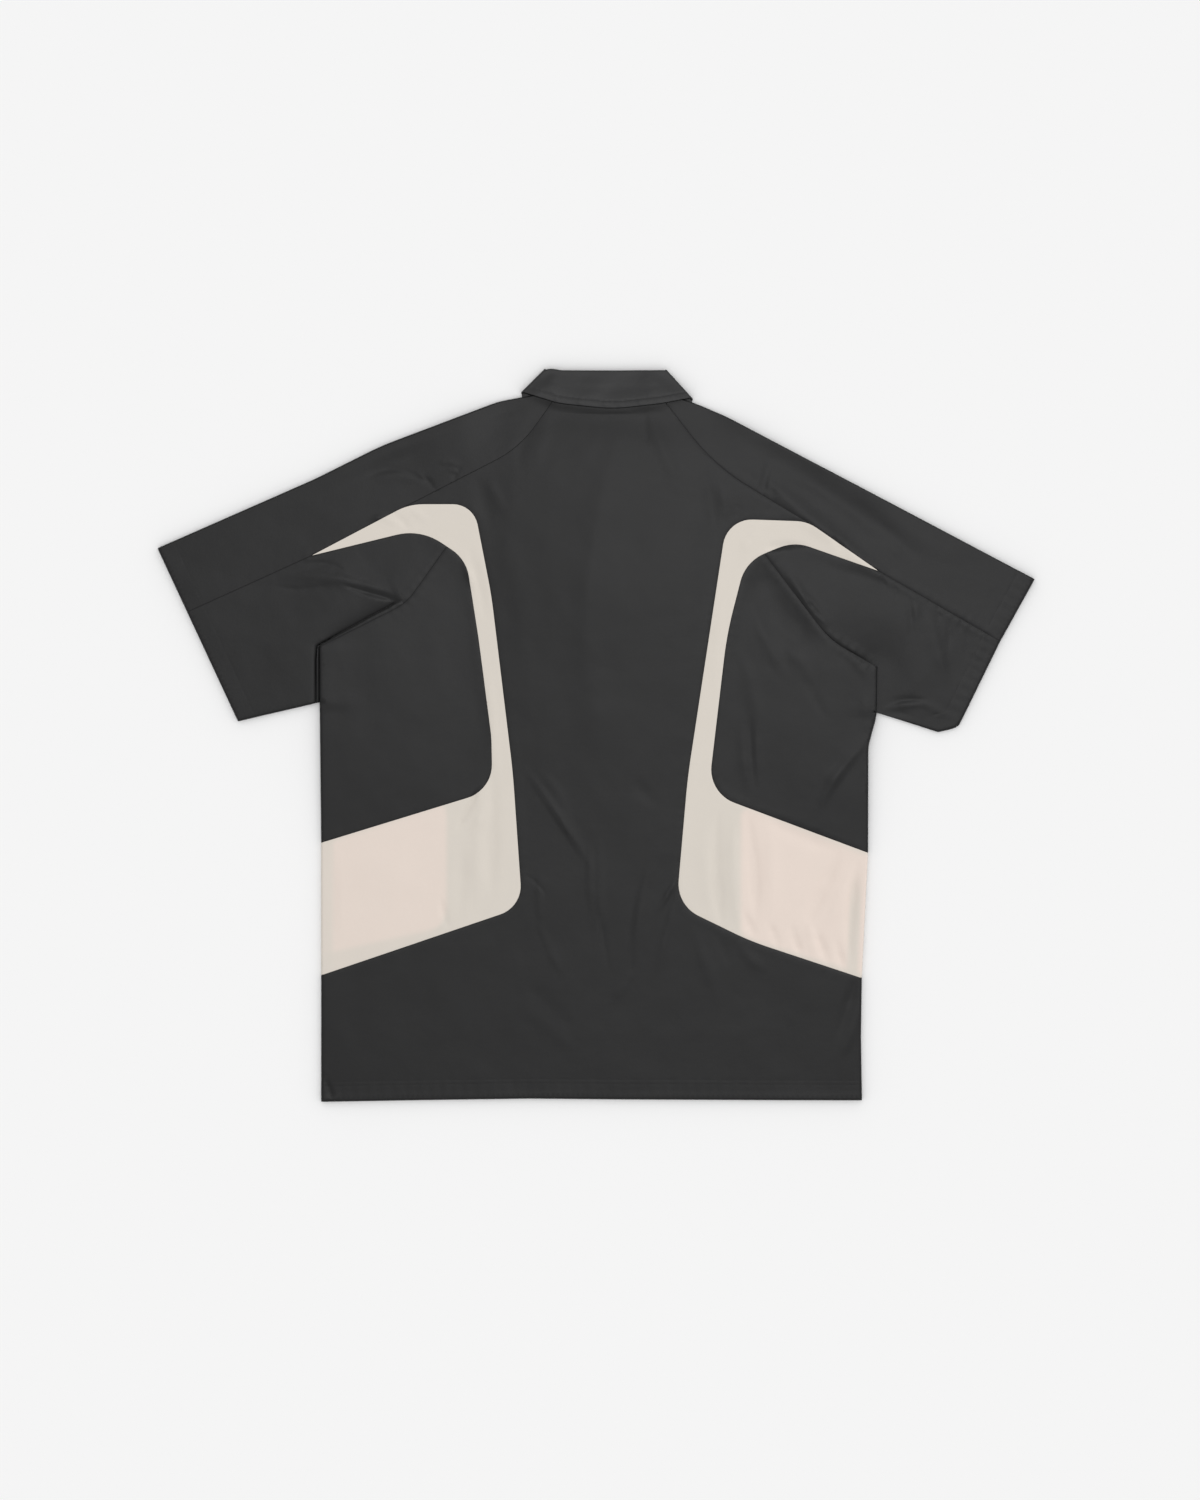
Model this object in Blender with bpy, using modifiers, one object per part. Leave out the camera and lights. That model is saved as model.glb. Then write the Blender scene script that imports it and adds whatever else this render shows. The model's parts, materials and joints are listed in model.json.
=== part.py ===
"""A short-sleeved raglan polo shirt with contrast side insets, laid flat on its front.

Every cut-and-sewn piece is its own closed solid: a cloth wall 1 mm thick, cut to its outline and bent through the
heights of the lay. +X is the wearer's right as the shirt lies, +Y points to the collar, +Z is up, and the origin is
the middle of the shirt's outline on the surface that it lies on. All tables are in millimetres.
"""

import math
from collections import namedtuple

import bmesh
import bpy
import numpy as np
from mathutils import Vector

MM = 0.001

# ---- driving dimensions (mm) --------------------------------------------------------------------------------------
CLOTH = 1.0            # cloth wall
GAP = 0.3              # between pieces, at seams and between layers
SEAM = GAP / 2         # each piece stops this far short of the seam line
LAYER = CLOTH + GAP    # from one layer to the next
GRID = 34.0            # size of a cell of cloth
WHOLE = 1000.0         # a flat sheet in one cell
ARC_STEP = 16.0        # degrees of turn for one side of a rounded corner
PUFF = 2.4             # how far the back stands off the front, away from every edge
PUFF_REACH = 60.0      # the distance from an edge over which it rises
FOLD_PUFF = 1.1        # extra height along the shoulder fold
FOLD_REACH = 1.2       # how far the shoulder fold's round turn reaches, to mid-cloth
TURN_STEPS = 4         # sides of a turn
LEAF_LEVEL = 4.7       # underside of the collar leaf where it lies on the back
LEAF_REACH = 1.6       # reach of the collar leaf's turn, to mid-cloth
PLACKET_WIDTH, PLACKET_LENGTH = 32.0, 172.0
BUTTON_DIAMETER, BUTTON_THICKNESS, BUTTON_STEP = 11.0, 1.5, 56.0

# ---- seam and edge lines: corners, each with the radius that rounds it ----------------------------------------------
P = namedtuple("P", "x y r")

SHOULDER = {  # neck side to cuff: the fold between the two faces of the sleeve
    "left": [P(-64, 364.5, 0), P(-105, 356.7, 80), P(-230, 309.5, 300), P(-300, 274.5, 400), P(-469.2, 200.1, 0)],
    "right": [P(88, 361.5, 0), P(112, 352.6, 60), P(140, 340.5, 120), P(300, 256.5, 500), P(469.2, 167, 0)],
}
CUFF = {  # from the shoulder fold to the underarm
    "left": [P(-469.2, 200.1, 0), P(-383.1, 15, 0)],
    "right": [P(469.2, 167, 0), P(432.5, 101, 60), P(387, 8, 12), P(366, 3.5, 0)],
}
UNDERARM = {  # from the cuff to the flap under the body
    "left": [P(-383.1, 15, 0), P(-295.4, 35.4, 0), P(-268.6, 41.8, 0)],
    "right": [P(366, 3.5, 0), P(300, 24, 60), P(272, 33, 0)],
}
SLEEVE_END = {"left": P(-436.6, 132, 0), "right": P(432, 100.4, 0)}  # where the sleeve seam meets the cuff
PIT = {"left": P(-295.9, 94.2, 0), "right": P(300.6, 72.5, 0)}
SIDE = {  # side seam, pit to hem corner
    "left": [PIT["left"], P(-295.4, 35.4, 0), P(-293.9, -115.2, 0), P(-293.9, -257, 0), P(-293.9, -392, 7)],
    "right": [PIT["right"], P(299.8, 20, 40), P(291, -12, 40), P(290.8, -126, 0), P(284.1, -260, 0), P(283.2, -324, 60),
              P(284.2, -390.6, 7)],
}
HEM = [P(-293.9, -392.2, 7), P(-180, -390.2, 0), P(-70, -388.7, 0), P(26, -389.6, 0), P(200, -390.4, 0),
       P(284.2, -390.6, 7)]
BAND_TOP = {"left": P(-293.9, -115.2, 0), "right": P(290.8, -126, 0)}     # inset band on the side seam
BAND_BOTTOM = {"left": P(-293.9, -257, 0), "right": P(284.1, -260, 0)}
RAGLAN = {  # neck to the inset's outer edge
    "left": [P(-44.5, 360, 0), P(-82, 307, 120), P(-206.2, 243.4, 0)],
    "right": [P(72.6, 358, 0), P(127, 287.5, 220), P(229, 226, 0)],
}
OUTER = {  # outer edge of the inset: tip, crest, long side, band corner, side seam
    "left": [P(-304.6, 191.8, 0), P(-200, 247, 60), P(-131, 247, 27), P(-112, 150, 500), P(-89, -40, 800),
             P(-79, -184, 32), P(-293.9, -257, 0)],
    "right": [P(302.2, 175.4, 0), P(226, 228.5, 40), P(140, 231.5, 31), P(98, -45, 700), P(86, -182, 38),
              P(165, -220.5, 300), P(284.1, -260, 0)],
}
INNER = {  # inner edge of the inset, in the same order
    "left": [P(-304.6, 191.8, 0), P(-188, 220.5, 60), P(-139, 188, 42), P(-126, 105, 500), P(-112, -2, 120),
             P(-111, -59, 45), P(-293.9, -115.2, 0)],
    "right": [P(302.2, 175.4, 0), P(212, 207, 44), P(160, 186, 44), P(140, 108, 400), P(120, -62, 38),
              P(290.8, -126, 0)],
}
ARMHOLE = {  # inset's inner edge to the pit
    "left": [P(-158.7, 203.5, 0), P(-203, 141, 60), PIT["left"]],
    "right": [P(178, 196.5, 0), P(250, 102, 90), PIT["right"]],
}
NECK_BACK = [P(-64, 364.5, 0), P(-44.5, 360, 0), P(15, 354, 400), P(72.6, 358, 0), P(88, 361.5, 0)]
NECK_FRONT = [P(-64, 364.5, 0), P(-58, 298, 50), P(15, 283, 120), P(84, 296, 50), P(88, 361.5, 0)]
RAGLAN_FRONT = {"left": [P(-61.7, 339, 0), P(-140, 215, 300), P(-200, 133, 70), PIT["left"]],
                "right": [P(86.4, 335, 0), P(165, 205, 300), P(246, 95, 90), PIT["right"]]}
FRONT_BAND = {  # the band of the front: side seam, inner end, side seam
    "left": [P(-293.9, -115.2, 0), P(-160, -67, 12), P(-160, -206, 34), P(-293.9, -257, 0)],
    "right": [P(290.8, -126, 0), P(155, -70, 12), P(155, -224, 20), P(284.1, -260, 0)],
}
LEAF_TOP = [P(-56, 390.8, 4), P(-48, 392.2, 12), P(-36, 390.4, 0), P(20, 390.2, 0), P(75.4, 390.6, 0)]
LEAF_SLOPE = {"left": [P(-56, 390.8, 0), P(-79.5, 367.2, 0)], "right": [P(75.4, 390.6, 0), P(102.5, 360.9, 0)]}
LEAF_LOW = [P(-79.5, 367.2, 0), P(-68, 363.6, 20), P(-40, 354.8, 90), P(18, 348.8, 160), P(70, 354.6, 200),
            P(102.5, 360.9, 0)]
LEAF_FRONT = {  # face-down leaves: from the slope's foot to the point, the front edge and the fold at the top
    "left": [P(-79.5, 367.2, 0), P(-79.5, 330, 60), P(-50, 254, 0), P(12.5, 314, 0), P(-34, 334, 60), P(-56, 390.8, 0)],
    "right": [P(102.5, 360.9, 0), P(106, 326, 60), P(80, 254, 0), P(17.5, 314, 0), P(62, 334, 60), P(75.4, 390.6, 0)],
}
STAND_SLOPE = {  # the stand's turn, top to foot, and where the stand leaves the neck seam at the back and the front
    "left": [P(-50, 388.5, 0), P(-61, 369.5, 0), P(-57, 363, 0), P(-63.6, 357, 0)],
    "right": [P(70, 388.5, 0), P(84, 367.5, 0), P(80, 359.6, 0), P(87.6, 354, 0)],
}
STAND_FRONT = {  # the fold line of the stand, from its turn to the centre front
    "left": [P(-50, 388.5, 0), P(-32, 337, 60), P(14, 316, 0)],
    "right": [P(70, 388.5, 0), P(60, 337, 60), P(16, 316, 0)],
}

# ---- heights of the lay ---------------------------------------------------------------------------------------------
Lift = namedtuple("Lift", "x0 y0 x1 y1 core reach height")
PIT_LIFT = [  # the body lies on the flap of the sleeve at each pit
    Lift(-288, 88, -280, 45, 42, 124, 2 * LAYER),
    Lift(293, 66, 286, 32, 42, 124, 2 * LAYER),
]
NECK_LIFT = Lift(-20, 325, 52, 325, 86, 150, LAYER)               # on the face-down leaves of the collar
PLACKET_LIFT = Lift(17, 256, 17, 130, 46, 108, BUTTON_THICKNESS + GAP + LAYER)

Fold = namedtuple("Fold", "name x0 y0 x1 y1 width height")
FOLDS = [  # the largest soft ridges (+) and troughs (-) of the back
    Fold("pit_tuck_left", -350, 162, -222, 147, 11, 2.6),
    Fold("armhole_left", -215, 128, -284, 92, 12, -0.8),
    Fold("armhole_right", 205, 150, 272, 78, 12, -0.9),
    Fold("shoulder_right", 205, 268, 325, 158, 13, 2.0),
    Fold("band_top_right", 288, 0, 240, -82, 12, 2.6),
    Fold("band_right", 282, -150, 246, -236, 13, 2.2),
    Fold("centre_low", 4, -112, 0, -215, 11, 2.0),
    Fold("centre_low_left", -64, -60, -12, -140, 11, 1.8),
    Fold("centre_low_right", 88, -140, 62, -262, 11, 2.2),
    Fold("hem_right", 268, -272, 262, -350, 12, 1.6),
]


# ---- working out lines ----------------------------------------------------------------------------------------------
def rounded(rows, closed=False):
    """The polyline through the rows, each corner turned on an arc of its radius."""
    pts = [np.array((r.x, r.y), float) for r in rows]
    out = []
    for i, row in enumerate(rows):
        if row.r <= 0 or (not closed and i in (0, len(rows) - 1)):
            out.append(pts[i])
            continue
        a, b, c = pts[i - 1], pts[i], pts[(i + 1) % len(rows)]
        u, v = a - b, c - b
        lu, lv = np.linalg.norm(u), np.linalg.norm(v)
        u, v = u / lu, v / lv
        turn = math.pi - math.acos(float(np.clip(u @ v, -1, 1)))
        if turn < math.radians(0.5):
            out.append(b)
            continue
        reach = min(row.r * math.tan(turn / 2), 0.49 * lu, 0.49 * lv)
        radius = reach / math.tan(turn / 2)
        sides = max(1, math.ceil(turn / math.radians(ARC_STEP)), math.ceil(radius * turn / 45))
        start, end = b + u * reach, b + v * reach
        middle = b + (u + v) / np.linalg.norm(u + v) * math.hypot(reach, radius)
        s, e = start - middle, end - middle
        total = math.acos(float(np.clip(s @ e / (radius * radius), -1, 1)))
        for k in range(sides + 1):
            f = k / sides
            out.append(middle + (s * math.sin((1 - f) * total) + e * math.sin(f * total)) / math.sin(total))
    return np.array(out)


def split(line, point):
    """A polyline in two, at its place nearest to the point."""
    q = np.array((point.x, point.y)) if hasattr(point, "x") else np.asarray(point)
    best = None
    for i in range(len(line) - 1):
        a, b = line[i], line[i + 1]
        t = float(np.clip((q - a) @ (b - a) / ((b - a) @ (b - a)), 0, 1))
        d = np.linalg.norm(a + t * (b - a) - q)
        if best is None or d < best[0]:
            best = (d, i, a + t * (b - a))
    _, i, at = best
    head = [p for p in line[:i + 1] if np.linalg.norm(p - at) > 0.5] + [at]
    tail = [at] + [p for p in line[i + 1:] if np.linalg.norm(p - at) > 0.5]
    return np.array(head), np.array(tail)


def ending(line, at, first=False):
    """The line with its last (or first) point moved to one that another line passes through."""
    line = np.array(line)
    line[0 if first else -1] = at
    return line


def back_of(line):
    return line[::-1]


# ---- working out heights --------------------------------------------------------------------------------------------
def smooth(t):
    t = np.clip(t, 0, 1)
    return t * t * (3 - 2 * t)


def from_segment(x, y, a, b):
    """Distance to a segment, and how far along it the nearest point is."""
    ax, ay, bx, by = *a, *b
    wx, wy = bx - ax, by - ay
    t = np.clip(((x - ax) * wx + (y - ay) * wy) / max(wx * wx + wy * wy, 1e-9), 0, 1)
    return np.hypot(x - ax - t * wx, y - ay - t * wy), t


def from_line(x, y, line):
    d = np.full(np.shape(x), 1e9)
    for a, b in zip(line[:-1], line[1:]):
        d = np.minimum(d, from_segment(x, y, a, b)[0])
    return d


def lift(x, y, row):
    """0 to 1: full within the row's core, nothing past its reach."""
    d, _ = from_segment(x, y, (row.x0, row.y0), (row.x1, row.y1))
    return smooth((row.reach - d) / (row.reach - row.core))


def body_base(x, y):
    """Mid-cloth of the lower layer of the body, where it is on a slope (0 to 1), and its share of the puff."""
    total, slope = 0, 0
    for row in PIT_LIFT + [NECK_LIFT, PLACKET_LIFT]:
        s = lift(x, y, row)
        total = total + (row.height * s) ** 3
        slope = slope + 4 * s * (1 - s)
    return CLOTH / 2 + total ** (1 / 3), np.clip(slope, 0, 1), 1


def sleeve_base(x, y):
    """The same for the sleeves, which stay on the surface where the body lies on them."""
    s = lift(x, y, NECK_LIFT)
    total, slope, share = (NECK_LIFT.height * s) ** 3, 4 * s * (1 - s), 1
    for row in PIT_LIFT:
        d, _ = from_segment(x, y, (row.x0, row.y0), (row.x1, row.y1))
        s = lift(x, y, row) * smooth((d - 26) / 40)
        total = total + (row.height * s) ** 3
        slope = slope + 4 * s * (1 - s)
        share = share * smooth((d - 18) / 30)
    return CLOTH / 2 + total ** (1 / 3), np.clip(slope, 0, 1), share


def puff(x, y):
    """How far the upper layer stands off the lower one, past the gap that layers keep."""
    edge = np.full(np.shape(x), 1e9)
    for line in EDGES:
        edge = np.minimum(edge, from_line(x, y, line))
    h = PUFF * smooth(edge / PUFF_REACH)
    under_collar = smooth((y - 325) / 25) * smooth((120 - np.abs(x - 11)) / 20)
    fold = np.minimum(from_line(x, y, L["left"]["shoulder"]), from_line(x, y, L["right"]["shoulder"]))
    h = h + FOLD_PUFF * np.exp(-fold / 30) * (1 - under_collar)
    for row in FOLDS:
        d, t = from_segment(x, y, (row.x0, row.y0), (row.x1, row.y1))
        ends = smooth(np.minimum(t, 1 - t) / 0.25)
        h = h + row.height * np.exp(-(d / row.width) ** 2) * ends * smooth(edge / 8)
    return np.maximum(h, 0)


def upper(base):
    def height(x, y):
        low, slope, share = base(x, y)
        return low + LAYER + 0.35 * slope + share * puff(x, y)
    return height


def lower(base):
    return lambda x, y: base(x, y)[0]


def level(z):
    return lambda x, y: np.full(np.shape(x), float(z))


# ---- making cloth ---------------------------------------------------------------------------------------------------
def inset_outline(runs):
    """The closed outline of runs of (line, inset, is_fold), each edge moved in by its own inset."""
    pts, inset, fold = [], [], []
    for line, d, is_fold in runs:
        for p in line[:-1]:
            if pts and np.linalg.norm(p - pts[-1]) < 0.4:
                inset[-1], fold[-1] = d, is_fold
                continue
            pts.append(p)
            inset.append(d)
            fold.append(is_fold)
    n = len(pts)
    area = sum(pts[i][0] * pts[(i + 1) % n][1] - pts[(i + 1) % n][0] * pts[i][1] for i in range(n)) / 2
    if area < 0:
        pts = pts[::-1]
        inset = [inset[(n - 2 - j) % n] for j in range(n)]
        fold = [fold[(n - 2 - j) % n] for j in range(n)]
    moved = []
    for i in range(n):
        a, b, c = pts[i - 1], pts[i], pts[(i + 1) % n]
        n1 = np.array((-(b - a)[1], (b - a)[0])) / np.linalg.norm(b - a)
        n2 = np.array((-(c - b)[1], (c - b)[0])) / np.linalg.norm(c - b)
        d1, d2 = inset[i - 1], inset[i]
        cross = n1[0] * n2[1] - n1[1] * n2[0]
        if abs(cross) < 0.05:
            moved.append(b + (n1 + n2) / np.linalg.norm(n1 + n2) * (d1 + d2) / 2)
        else:
            moved.append(b + np.array((d1 * n2[1] - d2 * n1[1], n1[0] * d2 - n2[0] * d1)) / cross)
    return moved, fold


def cloth(bm, runs, height, folds=FOLDS, grid=GRID):
    """Adds one sheet of mid-cloth: the outline as one face, sliced into cells, then lifted to its heights."""
    outline, fold = inset_outline(runs)
    part = bmesh.new()
    verts = [part.verts.new((p[0] * MM, p[1] * MM, 0)) for p in outline]
    part.faces.new(verts)
    for i, is_fold in enumerate(fold):
        part.edges.get((verts[i], verts[(i + 1) % len(verts)])).seam = is_fold
    low = np.min(outline, axis=0)
    high = np.max(outline, axis=0)

    def slice_at(co, no, inside=None):
        faces = part.faces[:]
        if inside is not None:
            faces = [f for f in faces if inside(f.calc_center_median()) and not any(e.seam for e in f.edges)]
        if faces:
            edges = list({e for f in faces for e in f.edges})
            points = list({v for f in faces for v in f.verts})
            bmesh.ops.bisect_plane(part, geom=points + edges + faces, dist=0.25 * MM, plane_co=co, plane_no=no)

    for axis in (0, 1):
        start = math.ceil((low[axis] + 2) / grid)
        for k in range(start, math.floor((high[axis] - 2) / grid) + 1):
            co = Vector((0, 0, 0))
            co[axis] = k * grid * MM
            no = Vector((0, 0, 0))
            no[axis] = 1
            slice_at(co, no)
    for row in folds:
        a, b = Vector((row.x0, row.y0, 0)) * MM, Vector((row.x1, row.y1, 0)) * MM
        along = (b - a).normalized()
        across = Vector((-along.y, along.x, 0))
        half = (b - a).length / 2
        middle = (a + b) / 2

        def near(p):
            w = Vector((p.x, p.y, 0)) - middle
            return abs(w.dot(along)) < half + 4 * MM and abs(w.dot(across)) < 2.2 * row.width * MM

        for off in (-1.25, 0, 1.25):
            slice_at(middle + across * off * row.width * MM, across, near)
    bmesh.ops.triangulate(part, faces=part.faces[:], quad_method="BEAUTY", ngon_method="BEAUTY")
    xy = np.array([v.co[:2] for v in part.verts]) / MM
    z = height(xy[:, 0], xy[:, 1])
    for v, h in zip(part.verts, z):
        v.co.z = float(h) * MM
    mesh = bpy.data.meshes.new("sheet")
    part.to_mesh(mesh)
    part.free()
    bm.from_mesh(mesh)
    bpy.data.meshes.remove(mesh)


def chains(bm):
    """The edges marked as folds, as open chains of vertices."""
    edges = [e for e in bm.edges if e.seam and e.is_boundary]
    found = []
    while edges:
        e = edges.pop(0)
        chain = [e.verts[0], e.verts[1]]
        for end in (0, -1):
            while True:
                nxt = next((o for o in chain[end].link_edges if o in edges), None)
                if nxt is None:
                    break
                edges.remove(nxt)
                v = nxt.other_vert(chain[end])
                chain.insert(0, v) if end == 0 else chain.append(v)
        found.append(chain)
    return found


def turn(bm, reach, facing):
    """Joins each fold of the upper sheet to the same fold of a sheet under it, on a half round of that reach."""
    found = chains(bm)
    found.sort(key=lambda c: -c[0].co.z)
    half = len(found) // 2
    for top in found[:half]:
        def apart(c):
            return min((top[0].co.xy - c[i].co.xy).length + (top[-1].co.xy - c[-1 - i].co.xy).length for i in (0, -1))
        low = min(found[half:], key=apart)
        if (top[0].co.xy - low[0].co.xy).length > (top[0].co.xy - low[-1].co.xy).length:
            low = low[::-1]
        if len(top) != len(low):
            raise ValueError(f"a fold has {len(top)} points above and {len(low)} below")
        outward = []
        for k, v in enumerate(top):
            t = (top[min(k + 1, len(top) - 1)].co.xy - top[max(k - 1, 0)].co.xy).normalized()
            n = Vector((-t.y, t.x))
            inside = sum((f.calc_center_median().xy for f in v.link_faces), Vector((0, 0))) / len(v.link_faces)
            outward.append(-n if n.dot(inside - v.co.xy) > 0 else n)
        rows = [top]
        for s in range(1, TURN_STEPS):
            angle = math.pi * s / TURN_STEPS
            share = (1 - math.cos(angle)) / 2
            row = []
            for v, w, out in zip(top, low, outward):
                co = v.co.lerp(w.co, share)
                co.xy += out * reach * MM * math.sin(angle)
                row.append(bm.verts.new(co))
                row[-1][facing] = Vector((*(out * math.sin(angle)), math.cos(angle)))
            rows.append(row)
        rows.append(low)
        for a, b in zip(rows[:-1], rows[1:]):
            for k in range(len(top) - 1):
                bm.faces.new((a[k], a[k + 1], b[k + 1]))
                bm.faces.new((a[k], b[k + 1], b[k]))


def material(name, colour, roughness):
    mat = bpy.data.materials.new(name)
    mat.use_nodes = True
    shader = mat.node_tree.nodes["Principled BSDF"]
    shader.inputs["Base Color"].default_value = (*colour, 1)
    shader.inputs["Roughness"].default_value = roughness
    shader.inputs["Metallic"].default_value = 0
    mat.diffuse_color = (*colour, 1)
    return mat


CHARCOAL, CREAM, COLLAR, BUTTON = (0.040, 0.040, 0.042), (0.66, 0.60, 0.54), (0.055, 0.055, 0.058), (0.05, 0.05, 0.052)


def piece(name, sheets, colour, reach=None):
    """One named solid: its sheets of mid-cloth, joined by their turns, with half the wall to each side of them.

    The first sheet faces up and the others face down. The wall is measured along the sheet's facing, so pieces that
    meet at a seam keep their gap on a slope too.
    """
    bm = bmesh.new()
    facing = bm.verts.layers.float_vector.new("facing")
    for number, sheet in enumerate(sheets):
        old = len(bm.verts)
        cloth(bm, *sheet)
        bm.verts.ensure_lookup_table()
        facing = bm.verts.layers.float_vector["facing"]
        for v in bm.verts[old:]:
            v[facing] = Vector((0, 0, 1 if number == 0 else -1))
    if reach is not None:
        turn(bm, reach, facing)
    added = bmesh.ops.extrude_face_region(bm, geom=bm.faces[:], use_keep_orig=True)["geom"]
    outer = {g for g in added if isinstance(g, bmesh.types.BMVert)}
    for v in bm.verts:
        v.co += v[facing] * (CLOTH / 2 * MM) * (1 if v in outer else -1)
    bm.verts.layers.float_vector.remove(facing)
    for e in bm.edges:
        e.seam = False
    bmesh.ops.recalc_face_normals(bm, faces=bm.faces[:])
    mesh = bpy.data.meshes.new(name)
    bm.to_mesh(mesh)
    bm.free()
    obj = bpy.data.objects.new(name, mesh)
    SHIRT.objects.link(obj)
    obj.parent = LAY
    mesh.materials.append(material(name, colour, 0.9))
    return obj


# ---- the scene holds only the shirt ---------------------------------------------------------------------------------
for old in list(bpy.data.objects):
    bpy.data.objects.remove(old, do_unlink=True)
SHIRT = bpy.data.collections.new("polo_shirt")
bpy.context.scene.collection.children.link(SHIRT)
LAY = bpy.data.objects.new("lay", None)
SHIRT.objects.link(LAY)

# ---- lines that pieces share ----------------------------------------------------------------------------------------
hem = rounded(HEM)
neck_back, neck_front = rounded(NECK_BACK), rounded(NECK_FRONT)
L = {}
for side in ("left", "right"):
    shoulder, cuff, underarm = rounded(SHOULDER[side]), rounded(CUFF[side]), rounded(UNDERARM[side])
    seam_line, outer, inner = rounded(SIDE[side]), rounded(OUTER[side]), rounded(INNER[side])
    raglan, armhole, raglan_front = rounded(RAGLAN[side]), rounded(ARMHOLE[side]), rounded(RAGLAN_FRONT[side])
    cuff_upper, cuff_under = split(cuff, SLEEVE_END[side])
    outer_sleeve, outer_body = split(outer, RAGLAN[side][-1])
    inner_sleeve, inner_body = split(inner, ARMHOLE[side][0])
    side_top, rest = split(seam_line, BAND_TOP[side])
    side_band, side_low = split(rest, BAND_BOTTOM[side])
    nb = neck_back if side == "left" else back_of(neck_back)
    nf = neck_front if side == "left" else back_of(neck_front)
    neck_back_sleeve, _ = split(nb, RAGLAN[side][0])
    neck_front_sleeve, _ = split(nf, RAGLAN_FRONT[side][0])
    pit = np.array((PIT[side].x, PIT[side].y))
    L[side] = dict(
        shoulder=shoulder, cuff=cuff, cuff_upper=cuff_upper, cuff_under=cuff_under, underarm=underarm,
        flap=np.array([underarm[-1], pit]),
        outer=outer, outer_sleeve=outer_sleeve, outer_body=outer_body,
        inner=inner, inner_sleeve=inner_sleeve, inner_body=inner_body,
        raglan=ending(raglan, outer_sleeve[-1]), armhole=ending(armhole, inner_sleeve[-1], first=True),
        raglan_front=ending(raglan_front, neck_front_sleeve[-1], first=True),
        side_top=side_top, side_band=side_band, side_low=side_low,
        neck_back_sleeve=neck_back_sleeve, neck_front_sleeve=neck_front_sleeve,
        sleeve_seam=np.array([outer[0], cuff_upper[-1]]),
        front_band=rounded(FRONT_BAND[side]),
    )
_, neck_back_mid = split(neck_back, RAGLAN["left"][0])
neck_back_mid, _ = split(neck_back_mid, RAGLAN["right"][0])
_, neck_front_mid = split(neck_front, RAGLAN_FRONT["left"][0])
neck_front_mid, _ = split(neck_front_mid, RAGLAN_FRONT["right"][0])
hem = ending(ending(hem, L["left"]["side_low"][-1], first=True), L["right"]["side_low"][-1])
EDGES = [hem, neck_back]  # where both layers of the shirt end together
for side in ("left", "right"):
    EDGES += [L[side][k] for k in ("shoulder", "cuff", "side_top", "side_band", "side_low")] + [L[side]["underarm"][:-1]]


def sewn(*lines):
    return [(line, SEAM, False) for line in lines]


# ---- the back -------------------------------------------------------------------------------------------------------
a, b = L["left"], L["right"]
piece("back_centre", [(
    sewn(neck_back_mid, b["raglan"], b["outer_body"], b["side_low"], back_of(hem), back_of(a["side_low"]),
         back_of(a["outer_body"]), back_of(a["raglan"])), upper(body_base))], CHARCOAL)
for side in ("left", "right"):
    s = L[side]
    piece("side_" + side, [(sewn(s["armhole"], s["side_top"], back_of(s["inner_body"])), upper(body_base))], CHARCOAL)
    piece("inset_" + side, [(sewn(s["outer"], back_of(s["side_band"]), back_of(s["inner"])), upper(body_base))], CREAM)

# ---- the sleeves ----------------------------------------------------------------------------------------------------
for side in ("left", "right"):
    s = L[side]
    reach = CLOTH / 2 + FOLD_REACH
    fold = [(s["shoulder"], reach, True)]
    top = fold + sewn(s["cuff_upper"], back_of(s["sleeve_seam"]), s["outer_sleeve"], back_of(s["raglan"]),
                      back_of(s["neck_back_sleeve"]))
    face_down = fold + sewn(s["cuff"], s["underarm"], s["flap"], back_of(s["raglan_front"]),
                            back_of(s["neck_front_sleeve"]))
    piece("sleeve_upper_" + side, [(top, upper(sleeve_base)), (face_down, lower(sleeve_base))], CHARCOAL, FOLD_REACH)
    piece("sleeve_under_" + side, [(
        sewn(s["cuff_under"], s["underarm"], s["flap"], back_of(s["armhole"]), back_of(s["inner_sleeve"]),
             s["sleeve_seam"]), upper(sleeve_base))], CHARCOAL)

# ---- the front ------------------------------------------------------------------------------------------------------
piece("front", [(
    sewn(neck_front_mid, b["raglan_front"], b["side_top"], b["front_band"], b["side_low"], back_of(hem),
         back_of(a["side_low"]), back_of(a["front_band"]), back_of(a["side_top"]), back_of(a["raglan_front"])),
    lower(body_base), [])], CHARCOAL)
for side in ("left", "right"):
    s = L[side]
    piece("front_band_" + side, [(sewn(s["front_band"], back_of(s["side_band"])), lower(body_base), [])], CREAM)

# ---- the collar -----------------------------------------------------------------------------------------------------
leaf_mid = LEAF_LEVEL + CLOTH / 2
leaf_reach = CLOTH / 2 + LEAF_REACH
slopes = {side: rounded(LEAF_SLOPE[side]) for side in ("left", "right")}
leaf_top, leaf_low = rounded(LEAF_TOP), rounded(LEAF_LOW)
back_leaf = [(leaf_top, SEAM, False), (slopes["right"], leaf_reach, True), (back_of(leaf_low), SEAM, False),
             (back_of(slopes["left"]), leaf_reach, True)]
front_leaves = [[(rounded(LEAF_FRONT[side]), SEAM, False), (slopes[side], leaf_reach, True)]
                for side in ("left", "right")]
piece("collar_leaf", [(back_leaf, level(leaf_mid), [], WHOLE)]
      + [(leaf, level(CLOTH / 2), [], WHOLE) for leaf in front_leaves], COLLAR, LEAF_REACH)

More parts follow.
